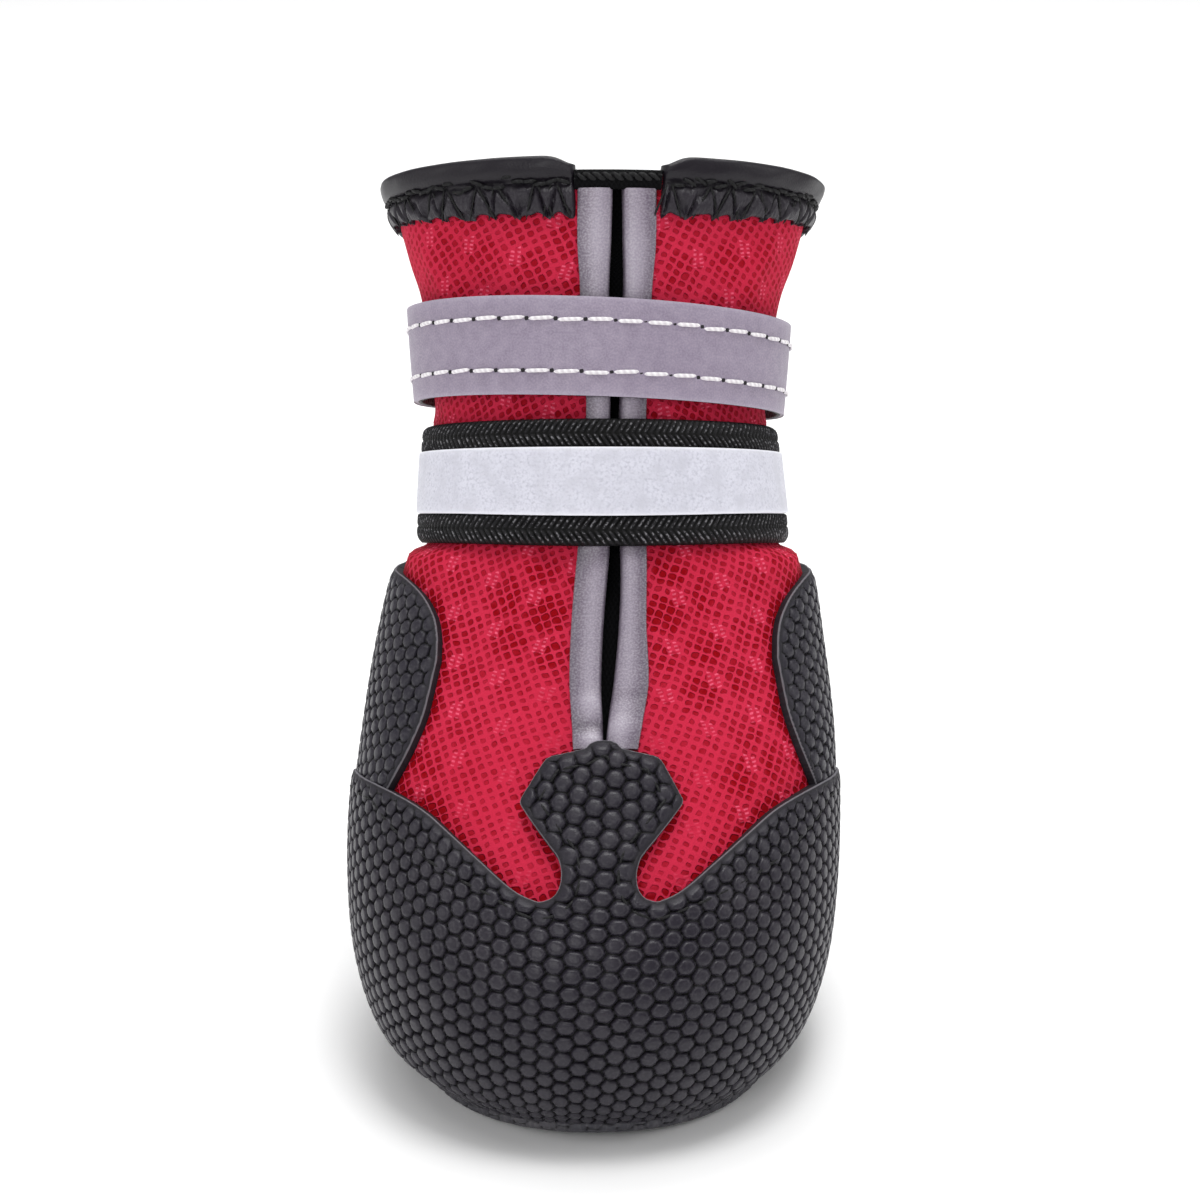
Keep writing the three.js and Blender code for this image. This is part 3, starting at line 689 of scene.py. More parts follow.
def make_threads(name, paths, outs, radius, material, slot, sides=7, squash=0.8):
    """One mesh of short cords along paths [count, points, 3]. outs point away from the cloth."""
    along = unit(np.gradient(paths, axis=1))
    side = unit(np.cross(along, outs))
    up = np.cross(side, along)
    angles = np.arange(sides) * 2 * np.pi / sides
    ring = side[:, :, None] * np.cos(angles)[:, None] + up[:, :, None] * np.sin(angles)[:, None] * squash
    count, steps = paths.shape[:2]
    share = np.linspace(-1, 1, steps)
    thick = radius * np.sqrt(np.clip(1 - share**BLUNTNESS * END_TAPER, 0, 1))
    points = paths[:, :, None] + ring * thick[:, None, None]
    stitch, ends = swept_faces(steps, sides)
    starts = np.arange(count) * steps * sides
    faces = (starts[:, None, None] + stitch[:, ::-1]).reshape(-1, 4)
    caps = [[start + k for k in face[::-1]] for start in starts.tolist() for face in ends]
    lengths = np.linalg.norm(np.diff(paths, axis=1), axis=-1).cumsum(1)
    run = np.concatenate([np.zeros((count, 1)), lengths], 1)[:, :, None]
    run = run + np.arange(count)[:, None, None] * PLY_SHIFT
    cloth = np.stack(np.broadcast_arrays(run, angles / (2 * np.pi)), -1)
    return make_piece(name, points, [faces, caps], [material], slot, cloth=cloth)


# %% Thread material
def thread_material(name, colour, dark, roughness):
    material, recipe, sockets = new_material(name, roughness, Specular_IOR_Level=0.3)
    place = recipe.attribute("cloth")
    ply = recipe.group("Twist", Place=place, Pitch=0.9)["Ply"]
    recipe.feed(sockets["Base Color"], recipe.mix(ply, srgb(dark), srgb(colour)))
    set_bump(recipe, sockets, ply, 0.08)
    return material


white_thread = thread_material("white_thread", "f2eff1", "dcd6db", 0.6)
black_thread = thread_material("black_thread", "0e0d10", "040405", 0.6)

# %% [markdown]
# ## Bumpy rubber
# Toe and heel are covered in a dark rubber sheet pressed with rows of rounded hexagons, which lean a
# little because the sheet was cut askew. A bump map alone would leave the outline smooth, and on the
# real boot the pillows scallop it, so they are real relief in a fine grid, and the material adds the
# sharp bevels and paints shade into the grooves, which are coloured far darker than the pillows. Near
# the cut edge the pressing is shallow, and the edge shows a thin pale line.

# %% Pillow relief
PILLOW_PITCH = 2.38
PILLOW_LEAN = 6.0
PILLOW_RELIEF = 0.55
ROUNDNESS = 0.4
DOME_POWER = 7.0
EDGE_ROUNDING = 0.28
MARGIN = (0.3, 1.4)
# Height that the material gives the unpressed margin; it sets the margin's roughness, bump and share of the
# painted groove shade
FLAT_TONE = 0.32
WALL_EDGE = 2.0
# Height of a pillow at which the sheet keeps its own thickness
MEAN_HEIGHT = 0.62
# Where the wall down a sheet's edge stops, off the last
WALL_FOOT = 0.05


def pillows(place, pitch=PILLOW_PITCH, lean=PILLOW_LEAN):
    """Height of the pressed hexagons from 0 in a groove to 1 on a pillow, by place in millimetres."""
    across, upward = place
    angle = math.radians(lean)
    x = (across * math.cos(angle) - upward * math.sin(angle)) / pitch
    y = (across * math.sin(angle) + upward * math.cos(angle)) / pitch
    best = None
    for start in (0.0, 0.5):
        dx = (x / math.sqrt(3) + start) % 1 - 0.5
        dy = (y + start) % 1 - 0.5
        hexagon = np.maximum(np.abs(dy) * 2, np.abs(dx) * 3 + np.abs(dy))
        distance = hexagon + (np.hypot(dx * math.sqrt(3), dy) * 2 - hexagon) * ROUNDNESS
        best = distance if best is None else np.minimum(best, distance)
    return 1 - np.clip(best, 0, 1) ** DOME_POWER


def rubber_offsets(place, edge, thickness):
    """How far the rubber's face stands off the last, and how deep its pattern is pressed."""
    high = pillows(place)
    pressed = eased(np.clip((edge - MARGIN[0]) / (MARGIN[1] - MARGIN[0]), 0, 1))
    inward = np.clip(1 - edge / EDGE_ROUNDING, 0, 1)
    face = CLEARANCE + thickness - EDGE_ROUNDING * (1 - np.sqrt(1 - inward**2))
    return face + pressed * PILLOW_RELIEF * (high - MEAN_HEIGHT), pressed


# %% Rubber material
PILLOW_ROUGH, GROOVE_ROUGH = 0.34, 0.75
# Where the pale cut shows, in millimetres from the edge: none from the first number, full at the second
PALE_CUT = (0.2, 0.04)
PILLOW_BUMP = 0.42


def rubber(name, colour, groove, pale):
    material, recipe, sockets = new_material(name, PILLOW_ROUGH, Specular_IOR_Level=0.36)
    place = recipe.attribute("cloth")
    grain = recipe.group("Grain", Place=place, Size=0.22, Stretch=1.0)
    lean = math.radians(PILLOW_LEAN)
    cell = recipe.group("Honeycomb", Place=place, Pitch=PILLOW_PITCH, Lean=lean)
    away = recipe.length(recipe.together(cell["Across"], cell["Upward"]))
    circle = recipe.times(away, 2 / PILLOW_PITCH)
    distance = recipe.between(ROUNDNESS, recipe.math("SUBTRACT", 1.0, cell["Middle"]), circle)
    domed = recipe.math("SUBTRACT", 1.0, recipe.math("POWER", distance, DOME_POWER))
    high = recipe.between(recipe.amount("pressed"), FLAT_TONE, domed)
    face = recipe.mix(grain["Coarse"], srgb(colour), srgb(pale))
    # The grooves get a far darker colour than the pillow faces: painted shade in the grooves
    tone = recipe.mix(recipe.step(high, 0.05, 0.6), srgb(groove), face)
    dust = recipe.group("Dust", Place=place, Open=high, Amount=0.04)["Mask"]
    dusty = recipe.mix(dust, tone, srgb("8c878c"))
    cut = recipe.step(recipe.amount("edge"), *PALE_CUT)
    recipe.feed(sockets["Base Color"], recipe.mix(cut, dusty, srgb("69676d")))
    rough = recipe.between(high, GROOVE_ROUGH, PILLOW_ROUGH)
    recipe.feed(sockets["Roughness"], recipe.scaled(grain["Fine"], 0.1, rough))
    set_bump(recipe, sockets, recipe.scaled(grain["Fine"], 0.06, high), PILLOW_BUMP)
    return material


toe_rubber = rubber("toe_rubber", "19151f", "040305", "1f1b26")
heel_rubber = rubber("heel_rubber", "18141f", "040305", "1e1a26")
print("rubbers:", toe_rubber.name, heel_rubber.name)

# %% Toe cap
CAP_MIDDLE = 1.0
CAP_NOTCH = (11.5, 0.2485)
CAP_CORNER = 96.0
# Upper edge of the cap: degrees away from its middle, level
CAP_EDGE = (CAP_NOTCH, (16.5, 0.255), (25, 0.274), (34, 0.291), (43, 0.303), (56, 0.308), (70, 0.306),
            (86, 0.298), (CAP_CORNER, 0.285))
# Side seam: level, degrees away from the cap's middle
SEAM = ((0.0, 125.0), (0.06, 123.0), (0.13, 119.0), (0.2, 113.0), (0.25, 106.0), (0.285, CAP_CORNER))
# The tab in front of the slit: level, half its breadth in degrees
TAB = ((0.253, 8.2), (0.266, 7.0), (0.279, 7.7), (0.285, 9.0), (0.3135, 16.8), (0.3165, 17.3),
       (0.3195, 17.0), (0.3425, 12.6), (0.3455, 11.6), (0.347, 10.2), (0.351, 4.2), (0.3522, 3.2),
       (0.3548, 2.6), (0.3562, 1.4), (0.3565, 0.5))
BELOW = -0.02
SEAM_POINTS, EDGE_POINTS = 24, 60


def cap_top(away):
    return smooth_row(CAP_EDGE, away)[..., 0]


def seam_away(level):
    return smooth_row(SEAM, level)[..., 0]


def cap_outline():
    """The toe cap's outline in degrees away from its middle and level, from its right foot round."""
    up_seam = np.linspace(BELOW, SEAM[-1][0], SEAM_POINTS)
    edge = np.linspace(CAP_CORNER, CAP_NOTCH[0], EDGE_POINTS)
    wing = [*zip(seam_away(up_seam), up_seam), *zip(edge[1:], cap_top(edge[1:]))]
    wing += [(half, level) for level, half in TAB]
    right = np.array(wing)
    left = right[::-1] * (-1, 1)
    return soften(np.concatenate([right, left]), 2)


# %% Toe cap's grid
cap_shape = cap_outline() + (CAP_MIDDLE, 0)
CAP_COLUMNS = 640
CAP_REACH, CAP_BEND = 112, 0.1
CAP_TOP, CAP_TURNING = 0.365, 0.2
CAP_LOW_ROWS, CAP_HIGH_ROWS = 84, 90
cap_turns = turn_at(np.linspace(-CAP_REACH, CAP_REACH, CAP_COLUMNS), CAP_BEND)
low_levels = np.linspace(0, CAP_TURNING, CAP_LOW_ROWS)[:-1]
cap_levels = np.concatenate([low_levels, np.linspace(CAP_TURNING, CAP_TOP, CAP_HIGH_ROWS)])
cap_places, cap_edge, cap_faces = cut_panel(cap_turns, cap_levels, cap_shape)
flat_cap = flatten("cap_pattern", (-128, 128), (0, 0.37), 0)
STRETCH_PLACE = (CAP_MIDDLE, 0.315)
STRETCH = 0.21
STRETCH_REACH = 22.0


# %% Toe cap's sheet
def cap_cloth(turn, level):
    """Millimetres on the cap's sheet, which is stretched most where it bends over the instep."""
    across, upward = flat_cap(turn, level)
    x, y = flat_cap(*STRETCH_PLACE)
    pulled = 1 - STRETCH * np.exp(-((across - x) ** 2 + (upward - y) ** 2) / STRETCH_REACH**2)
    return x + (across - x) * pulled, y + (upward - y) * pulled


# %% Toe cap's relief
cap_offsets, cap_pressed = rubber_offsets(cap_cloth(*cap_places.T), cap_edge, CAP_THICKNESS)
points, places, faces, rim = walled(cap_places, cap_faces, cap_offsets, WALL_FOOT)
make_piece(
    "toe_cap", points, faces, [toe_rubber], "bumpy_rubber", ["toe_cap"],
    cloth=np.stack(cap_cloth(*places.T), -1),
    amounts={"pressed": np.r_[cap_pressed, cap_pressed[rim]], "edge": np.r_[cap_edge, rim * 0 + WALL_EDGE]},
)

# %% Heel counter
COUNTER_NOSE = {"right": 49.4, "left": 43.8}
NOSE_LEVEL = 0.402
# Lower edge in front: degrees past the nose, level
COUNTER_LOWER = ((0.0, NOSE_LEVEL), (1.7, 0.370), (5.5, 0.345), (9.0, 0.328), (13.0, 0.311))
# Upper edge: share of the way from the nose to the back, level
COUNTER_UPPER = ((0.0, NOSE_LEVEL), (0.008, 0.418), (0.03, 0.433), (0.09, 0.450), (0.19, 0.462),
                 (0.35, 0.467), (1.0, 0.486))
BESIDE_CAP = 0.15
TUCKED = 0.006
COUNTER_TOP = 0.5
COUNTER_ROWS, COUNTER_COLUMNS = 200, 460
PAST_NOSE = 3


def counter_side(nose):
    """One side's outline from the back's foot, along the cap, round the nose and back on top."""
    levels = np.linspace(BELOW, SEAM[-1][0], 20)
    step = 360 / sample(round_arc, np.array([360.0]), np.array([0.2]))[0] * BESIDE_CAP
    behind = [(CAP_MIDDLE + away + step, level) for away, level in zip(seam_away(levels), levels)]
    away = np.linspace(CAP_CORNER, nose + COUNTER_LOWER[-1][0] + 1, 24)
    above = [(CAP_MIDDLE + a, level) for a, level in zip(away, cap_top(away) - TUCKED)]
    past = np.linspace(COUNTER_LOWER[-1][0], 0, 14)
    lower = [(nose + p, level) for p, level in zip(past, smooth_row(COUNTER_LOWER, past)[:, 0])]
    share = np.linspace(0, 1, 60)[1:] ** 2
    top = smooth_row(COUNTER_UPPER, share)[:, 0]
    upper = [(nose + (180 - nose) * s, level) for s, level in zip(share, top)]
    return np.array([*behind, *above, *lower, *upper])


# %% Heel counter's relief
right = counter_side(COUNTER_NOSE["right"])
left = counter_side(COUNTER_NOSE["left"] + 2 * CAP_MIDDLE)
left = (left * (-1, 1) + (360 + 2 * CAP_MIDDLE, 0))[::-1]
counter_shape = np.concatenate([right, left[1:]])
nose_arc, far_arc = (float(sample(round_arc, np.array([turn]), np.array([NOSE_LEVEL]))[0])
                     for turn in (COUNTER_NOSE["left"] - PAST_NOSE, 360 - COUNTER_NOSE["left"] + PAST_NOSE))
counter_turns = turn_at(np.linspace(nose_arc, far_arc, COUNTER_COLUMNS), NOSE_LEVEL)
counter_levels = np.linspace(0, COUNTER_TOP, COUNTER_ROWS)
places, counter_edge, triangles = cut_panel(counter_turns, counter_levels, counter_shape)
counter_cloth = flatten("counter_pattern", (38, 324), (0, COUNTER_TOP), 180)
offsets, counter_pressed = rubber_offsets(counter_cloth(*places.T), counter_edge, COUNTER_THICKNESS)
points, places, faces, rim = walled(places, triangles, offsets, WALL_FOOT)
make_piece(
    "heel_counter", points, faces, [heel_rubber], "bumpy_rubber", ["heel_counter"],
    cloth=np.stack(counter_cloth(*places.T), -1),
    amounts={"pressed": np.r_[counter_pressed, counter_pressed[rim]],
             "edge": np.r_[counter_edge, rim * 0 + WALL_EDGE]},
)

# %% [markdown]
# ## The slit
# The upper is open down its front, and every piece beside the slit is placed by its distance from the
# slit's middle. The table gives that middle's turn, and how open the slit is, at a few levels.

# %% Slit
SLIT_GAP = 2.0
TAPE_WIDTH = 4.7
TAPE_THICKNESS = 0.6
TAPE_INSIDE = 3.0
TAPE_TOP = 0.985
SLIT = ((0.351, 1.0, 0.30), (0.373, 1.2, 0.68), (0.395, 1.5, 1.15), (0.437, 2.1, 1.35),
        (0.515, 3.1, 1.00), (0.706, 4.5, 0.85), (0.854, 4.1, 1.25), (0.930, 3.8, 1.10), (1.000, 3.6, 0.90))
SLIT_FOOT = SLIT[0][0]


def slit_half(level):
    return smooth_row(SLIT, level)[..., 1] * SLIT_GAP / 2


def turn_beside(distance, level):
    """Turn of the place this far to the right of the slit's middle, seen from the front."""
    distance, level = paired(distance, level)
    middle = smooth_row(SLIT, level)[..., 0]
    wanted = last_point(middle, level)[..., 0] + distance
    low, high = middle - 80, middle + 80
    for _ in range(30):
        half = (low + high) / 2
        short = last_point(half, level)[..., 0] < wanted
        low, high = np.where(short, half, low), np.where(short, high, half)
    return (low + high) / 2


# %% [markdown]
# ## The air mesh upper
# The upper is a red spacer mesh over a dark lining, 1.8 mm thick. Small square holes run in rows that
# rise towards the slit, and clusters of larger holes make a honeycomb. Cutting thousands of holes
# would cost more triangles than the whole boot, so they are colour and bump, while the folds, the
# waist under the straps and the gathers are modelled: soft ridges and troughs listed in a table.

# %% Listed folds
LOWER_STRAP_SPAN = (0.514, 0.702)
UPPER_STRAP_SPAN = (0.729, 0.849)
ON_TAPES = 2 * CLEARANCE + TAPE_THICKNESS
# How much further each strap stands off at the sides, at its lower and its upper edge
LOWER_STRAP_SLACK = (-1.8, -0.4)
UPPER_STRAP_SLACK = (0.7, 0.0)
PRESS_GAP = 0.3
PRESS_SLOPE = 0.5
FOLD_COLUMNS = ("turn", "level", "to turn", "to level", "half width", "height")
FOLDS = (
    (16, 0.500, 75, 0.500, 3.2, 0.85),
    (-16, 0.500, -75, 0.500, 3.2, 0.85),
    (60, 0.505, 180, 0.512, 3.4, 0.80),
    (-60, 0.505, -180, 0.512, 3.4, 0.80),
    (22, 0.712, 100, 0.712, 1.8, 0.70),
    (-22, 0.712, -100, 0.712, 1.8, 0.70),
    (30, 0.470, 24, 0.410, 2.4, -0.35),
    (-28, 0.475, -36, 0.400, 3.0, -0.45),
    (-18, 0.490, -22, 0.430, 2.0, 0.30),
    (40, 0.480, 38, 0.440, 2.2, 0.30),
    (-46, 0.930, -40, 0.865, 2.6, -0.45),
    (-62, 0.925, -58, 0.865, 2.4, 0.40),
    (34, 0.935, 30, 0.870, 2.4, -0.40),
    (56, 0.925, 52, 0.870, 2.8, 0.45),
    (98, 0.930, 92, 0.870, 3.4, -0.60),
    (-104, 0.930, -98, 0.870, 3.4, -0.60),
    (140, 0.935, 136, 0.880, 4.0, 0.60),
    (-142, 0.935, -138, 0.880, 4.0, 0.60),
    (120, 0.490, 126, 0.515, 3.0, 0.40),
    (-118, 0.490, -124, 0.515, 3.0, 0.40),
)
FOLD_CLEAR = (7.5, 11.0)


# %% Relief of the folds and the straps' pull
def fold_relief(turn, level):
    """Millimetres that the listed folds raise or sink the mesh at a place."""
    across, upward = cloth_place(turn, level)
    relief = np.zeros(across.shape)
    for row in FOLDS:
        fold = dict(zip(FOLD_COLUMNS, row))
        x0, y0 = cloth_place(fold["turn"], fold["level"])
        x1, y1 = cloth_place(fold["to turn"], fold["to level"])
        dx, dy = x1 - x0, y1 - y0
        along = ((across - x0) * dx + (upward - y0) * dy) / (dx * dx + dy * dy)
        near = np.clip(along, 0, 1)
        gap = np.hypot(across - x0 - near * dx, upward - y0 - near * dy)
        relief += fold["height"] * np.exp(-((gap / fold["half width"]) ** 2))
    low, high = FOLD_CLEAR
    relief *= eased(np.clip((np.abs(across) - low) / (high - low), 0, 1))
    return np.minimum(relief, pressed_in(turn, level))


def at_sides(turn):
    """0 at the front and the back, and 1 at the two sides."""
    return np.abs(np.sin(np.radians(turn))) ** 3


def pressed_in(turn, level):
    """How far the lower strap lets the mesh stand off the last, under it and a little beyond."""
    low, high = LOWER_STRAP_SPAN
    share = np.clip((level - low) / (high - low), 0, 1)
    side = at_sides(turn)
    slack = LOWER_STRAP_SLACK[0] + (LOWER_STRAP_SLACK[1] - LOWER_STRAP_SLACK[0]) * share
    beyond = np.maximum(np.maximum(low - level, level - high), 0) * COLLAR_HEIGHT
    return ON_TAPES + side * slack - PRESS_GAP + beyond * PRESS_SLOPE


# %% Air mesh material
HOLE_PITCH = (1.42, 1.26, 1.0)
LADDER_LEAN = math.radians(-24)
LADDER_PLACE = (2.7, 2.4, 0.0)
RUNG_PITCH = 0.62
ROW_RISE = math.radians(22)
CLUSTER_PITCH = 7.7
CLUSTER_LEAN = math.radians(10)
# Where a group of light threads ends on each side: none from the first number, full at the second
LADDER_WIDTH = (1.15, 0.95)
LADDER_HEIGHT = (1.9, 1.6)
COLUMN_PITCH = 1.1
# Half a hole's breadth as a share of its cell, and how dark it is: at first, and what each place adds.
# The darkness that sewn adds beside the rubber's edges is painted shade from the rubber's raised edge
HOLE_BREADTH = {"plain": 0.19, "zone": 0.06, "cluster": 0.1, "sewn": 0.14, "chance": 0.06}
HOLE_DARKNESS = {"plain": 0.32, "patchy": 0.26, "zone": 0.22, "cluster": 0.36, "sewn": 0.6}


def air_mesh():
    material, recipe, sockets = new_material("air_mesh", 0.75, Specular_IOR_Level=0.06)
    run = recipe.parts(recipe.attribute("cloth"))
    beside = recipe.math("ABSOLUTE", run[0])
    place = recipe.together(beside, run[1])
    wobble = recipe.noise(place, 0.35, 2.0)
    shaken = recipe.vector("ADD", place, recipe.together(wobble, wobble))
    rows = recipe.turned(shaken, ROW_RISE)
    cells = recipe.vector("DIVIDE", rows, HOLE_PITCH)
    corner = recipe.vector("SUBTRACT", recipe.vector("FRACTION", cells), (0.5, 0.5, 0.0))
    sides = recipe.parts(recipe.vector("ABSOLUTE", corner))
    square = recipe.math("MAXIMUM", sides[0], sides[1])
    circle = recipe.length(recipe.vector("MULTIPLY", corner, (1, 1, 0)))
    reach = recipe.between(0.45, square, circle)
    chance = recipe.add("TexWhiteNoise", {"Vector": recipe.vector("FLOOR", cells)}).outputs["Value"]
    cluster = recipe.group("Honeycomb", Place=shaken, Pitch=CLUSTER_PITCH, Lean=CLUSTER_LEAN)
    inner = recipe.step(cluster["Middle"], 0.04, 0.4)
    zone = recipe.amount("open")
    openness = recipe.times(inner, zone)
    # 1 beside the edges of the toe cap and the heel counter, where holes are drawn larger and darker: painted
    # shade from the rubber's raised edge
    sewn = recipe.amount("beside")
    size = recipe.scaled(zone, HOLE_BREADTH["zone"], HOLE_BREADTH["plain"])
    size = recipe.scaled(openness, HOLE_BREADTH["cluster"], size)
    size = recipe.scaled(sewn, HOLE_BREADTH["sewn"], size)
    size = recipe.scaled(chance, HOLE_BREADTH["chance"], size)
    hole = recipe.step(recipe.math("SUBTRACT", size, reach), -0.07, 0.05)
    patchy = recipe.step(recipe.noise(place, 0.5, 2.0), 0.3, 0.7)
    depth = recipe.scaled(patchy, HOLE_DARKNESS["patchy"], HOLE_DARKNESS["plain"])
    depth = recipe.scaled(zone, HOLE_DARKNESS["zone"], depth)
    depth = recipe.scaled(openness, HOLE_DARKNESS["cluster"], depth)
    depth = recipe.scaled(sewn, HOLE_DARKNESS["sewn"], depth)
    threads = recipe.group("Grain", Place=rows, Size=0.3, Stretch=3.0)
    base = recipe.mix(threads["Fine"], srgb("ba213b"), srgb("d73858"))
    shade = recipe.mix(recipe.noise(place, 0.06, 2.0), srgb("bb203a"), base)
    beam = recipe.together(cluster["Across"], cluster["Upward"])
    rung = recipe.parts(recipe.vector("SUBTRACT", recipe.turned(beam, LADDER_LEAN), LADDER_PLACE))
    width, height = (recipe.math("ABSOLUTE", part) for part in (rung[0], rung[1]))
    within = recipe.times(recipe.step(width, *LADDER_WIDTH), recipe.step(height, *LADDER_HEIGHT))
    beat = recipe.math("SINE", recipe.times(rung[1], 2 * math.pi / RUNG_PITCH))
    pair = recipe.math("COSINE", recipe.times(rung[0], 2 * math.pi / COLUMN_PITCH))
    dash = recipe.times(recipe.step(beat, -0.1, 0.5), recipe.step(pair, 0.3, -0.4))
    ladder = recipe.times(dash, recipe.times(within, recipe.amount("ladder")))
    hole = recipe.times(hole, recipe.scaled(within, -0.6, 1.0))
    dark = recipe.times(hole, depth)
    flecked = recipe.mix(ladder, shade, srgb("ea6380"))
    recipe.feed(sockets["Base Color"], recipe.mix(dark, flecked, srgb("8a000c")))
    height = recipe.math("SUBTRACT", recipe.times(threads["Fine"], 0.25), dark)
    set_bump(recipe, sockets, height, 0.28)
    return material


# %% Lining material
def lining():
    material, recipe, sockets = new_material("lining", 0.85, Sheen_Weight=0.25)
    place = recipe.attribute("cloth")
    grain = recipe.group("Grain", Place=place, Size=0.5, Stretch=2.0)
    recipe.feed(sockets["Base Color"], recipe.mix(grain["Coarse"], srgb("1f1e22"), srgb("313036")))
    set_bump(recipe, sockets, grain["Fine"], 0.3)
    return material


red_mesh, dark_lining = air_mesh(), lining()
print("cloths:", red_mesh.name, dark_lining.name)

# %% Upper
OPEN_PATCHES = (
    # turn, level, reach in millimetres, how open the knit is there
    (12, 0.45, 12, 1.0), (-16, 0.44, 11, 1.0), (28, 0.40, 9, 0.9), (40, 0.33, 8, 0.9),
    (-45, 0.32, 7, 0.9), (0, 0.90, 22, 0.7), (45, 0.90, 13, 0.6), (-42, 0.91, 13, 0.6),
    (20, 0.71, 20, 0.7), (-20, 0.71, 20, 0.7), (110, 0.6, 40, 0.8), (-110, 0.6, 40, 0.8),
    (180, 0.8, 60, 0.9),
)
UPPER_ROWS, UPPER_COLUMNS = 156, 236
# How far from the rubber's edges the knit's holes are drawn larger and darker, as painted shade
RUBBER_EDGE_SHADE_REACH = 1.3
EDGE_SPACING = 0.4
PLAIN_KNIT = 0.22
# The light threads show by how open the knit is, within these shares
LADDER_SHOWN = (0.15, 0.7)


def open_zones(turn, level):
    across, upward = cloth_place(turn, level)
    strength = np.full(across.shape, PLAIN_KNIT)
    for at, height, reach, how in OPEN_PATCHES:
        x, y = cloth_place(at, height)
        near = np.exp(-(((across - x) ** 2 + (upward - y) ** 2) / reach**2) ** 1.5)
        strength = np.maximum(strength, how * near)
    return strength


# %% Upper's two faces
upper_cloth = flatten("upper_pattern", (-180, 180), (0.2, 1), 0)
levels = np.linspace(0, 1, UPPER_ROWS)
edge = slit_half(levels) + TAPE_THICKNESS + CLEARANCE
right, left = turn_beside(edge, levels), turn_beside(-edge, levels) + 360
turns = right[:, None] + (left - right)[:, None] * np.linspace(0, 1, UPPER_COLUMNS)
level_grid = np.broadcast_to(levels[:, None], turns.shape)
outer = skin(turns, level_grid, fold_relief(turns, level_grid))
inner = skin(turns, level_grid, np.minimum(pressed_in(turns, level_grid), 0) - UPPER_WALL)
face = grid_faces(UPPER_ROWS, UPPER_COLUMNS)
seam_rows = np.arange(np.searchsorted(levels, SLIT_FOOT))
first, final = seam_rows * UPPER_COLUMNS, (seam_rows + 1) * UPPER_COLUMNS - 1
bridge = np.stack([final, first, first + UPPER_COLUMNS, final + UPPER_COLUMNS], 1)
face = np.concatenate([face, bridge])
count = outer.shape[0] * outer.shape[1]
back_face = face[:, ::-1] + count
free = free_edges(np.concatenate([face[:, [0, 1, 2]], face[:, [0, 2, 3]]]))
wall = np.stack([free[:, 1], free[:, 0], free[:, 0] + count, free[:, 1] + count], 1)

# %% Upper's zones
cloth = np.stack(upper_cloth(turns, level_grid), -1).reshape(-1, 2)
zones = open_zones(turns, level_grid).ravel()
laddered = np.clip(zones * 1.6 - 0.2, *LADDER_SHOWN)
rubber_edge = np.concatenate([outline_points(shape, EDGE_SPACING) for shape in (cap_shape, counter_shape)])
from_edge = distance_to(last_point(turns, level_grid).reshape(-1, 3), rubber_edge)
beside = np.exp(-((from_edge / RUBBER_EDGE_SHADE_REACH) ** 2))
amounts = {"open": zones, "ladder": laddered, "beside": beside}
make_piece(
    "upper", np.concatenate([outer.reshape(-1, 3), inner.reshape(-1, 3)]), [face, back_face, wall],
    [red_mesh, dark_lining], "red_mesh", ["upper"],
    cloth=np.concatenate([cloth, cloth]),
    amounts={title: np.r_[values, values] for title, values in amounts.items()},
    picks=np.r_[np.zeros(len(face), int), np.ones(len(back_face) + len(wall), int)],
)

# %% [markdown]
# ## The gusset
# Behind the slit a tongue of black stretch cloth is sewn to the upper's inside. It shows only through
# the gap and from above, as a dark, softly folded sheet. A flat plate would catch the light evenly,
# so it gets shallow vertical folds and a fine knit.

# %% Gusset
GUSSET_THICKNESS = 1.0
GUSSET_FACE = -UPPER_WALL - TAPE_THICKNESS - 2 * CLEARANCE
# Level, half breadth in millimetres
GUSSET = ((0.345, 8.0), (0.400, 12.0), (0.480, 13.5), (0.600, 14.0), (0.935, 13.5), (0.945, 5.4),
          (0.990, 5.2))
GUSSET_ROWS, GUSSET_COLUMNS = 90, 41
FOLD_DEPTH = 0.12


def black_knit():
    material, recipe, sockets = new_material("black_knit", 0.9, Specular_IOR_Level=0.1)
    place = recipe.attribute("cloth")
    knit = recipe.parts(recipe.vector("MULTIPLY", place, (9.0, 7.0, 1.0)))
    loops = recipe.times(recipe.math("SINE", knit[0]), recipe.math("SINE", knit[1]))
    height = recipe.scaled(loops, 0.5, 0.5)
    recipe.feed(sockets["Base Color"], recipe.mix(height, srgb("040405"), srgb("0d0d0f")))
    set_bump(recipe, sockets, height, 0.15)
    return material


# %% Gusset's folds
gusset_levels = np.linspace(GUSSET[0][0], GUSSET[-1][0], GUSSET_ROWS)
halves = np.interp(gusset_levels, *np.array(GUSSET).T)
shares = np.linspace(-1, 1, GUSSET_COLUMNS)
level_grid = np.broadcast_to(gusset_levels[:, None], (GUSSET_ROWS, GUSSET_COLUMNS))
turns = turn_beside(halves[:, None] * shares, level_grid)
folds = FOLD_DEPTH * np.sin(shares * 9) * np.sin(gusset_levels * 31)[:, None] - FOLD_DEPTH
front = skin(turns, level_grid, GUSSET_FACE + folds)
back = skin(turns, level_grid, GUSSET_FACE + folds - GUSSET_THICKNESS)
ring = np.concatenate([front, back[:, ::-1]], 1)
there_and_back = halves[:, None] * np.r_[shares, shares[::-1]]
cloth = cloth_grid(there_and_back, gusset_levels[:, None] * COLLAR_HEIGHT)
make_swept("gusset", ring, [black_knit()], "black_gusset", replaces=["tongue"], cloth=cloth)

# %% [markdown]
# ## Reflective tapes along the slit
# A grey reflective ribbon is folded round each edge of the slit. It is glass beads on cloth: satin,
# brighter where it bends and turns to the light, and darker where it dips to its stitching. A flat
# strip would lose that fold, so the whole folded section is swept up the slit.

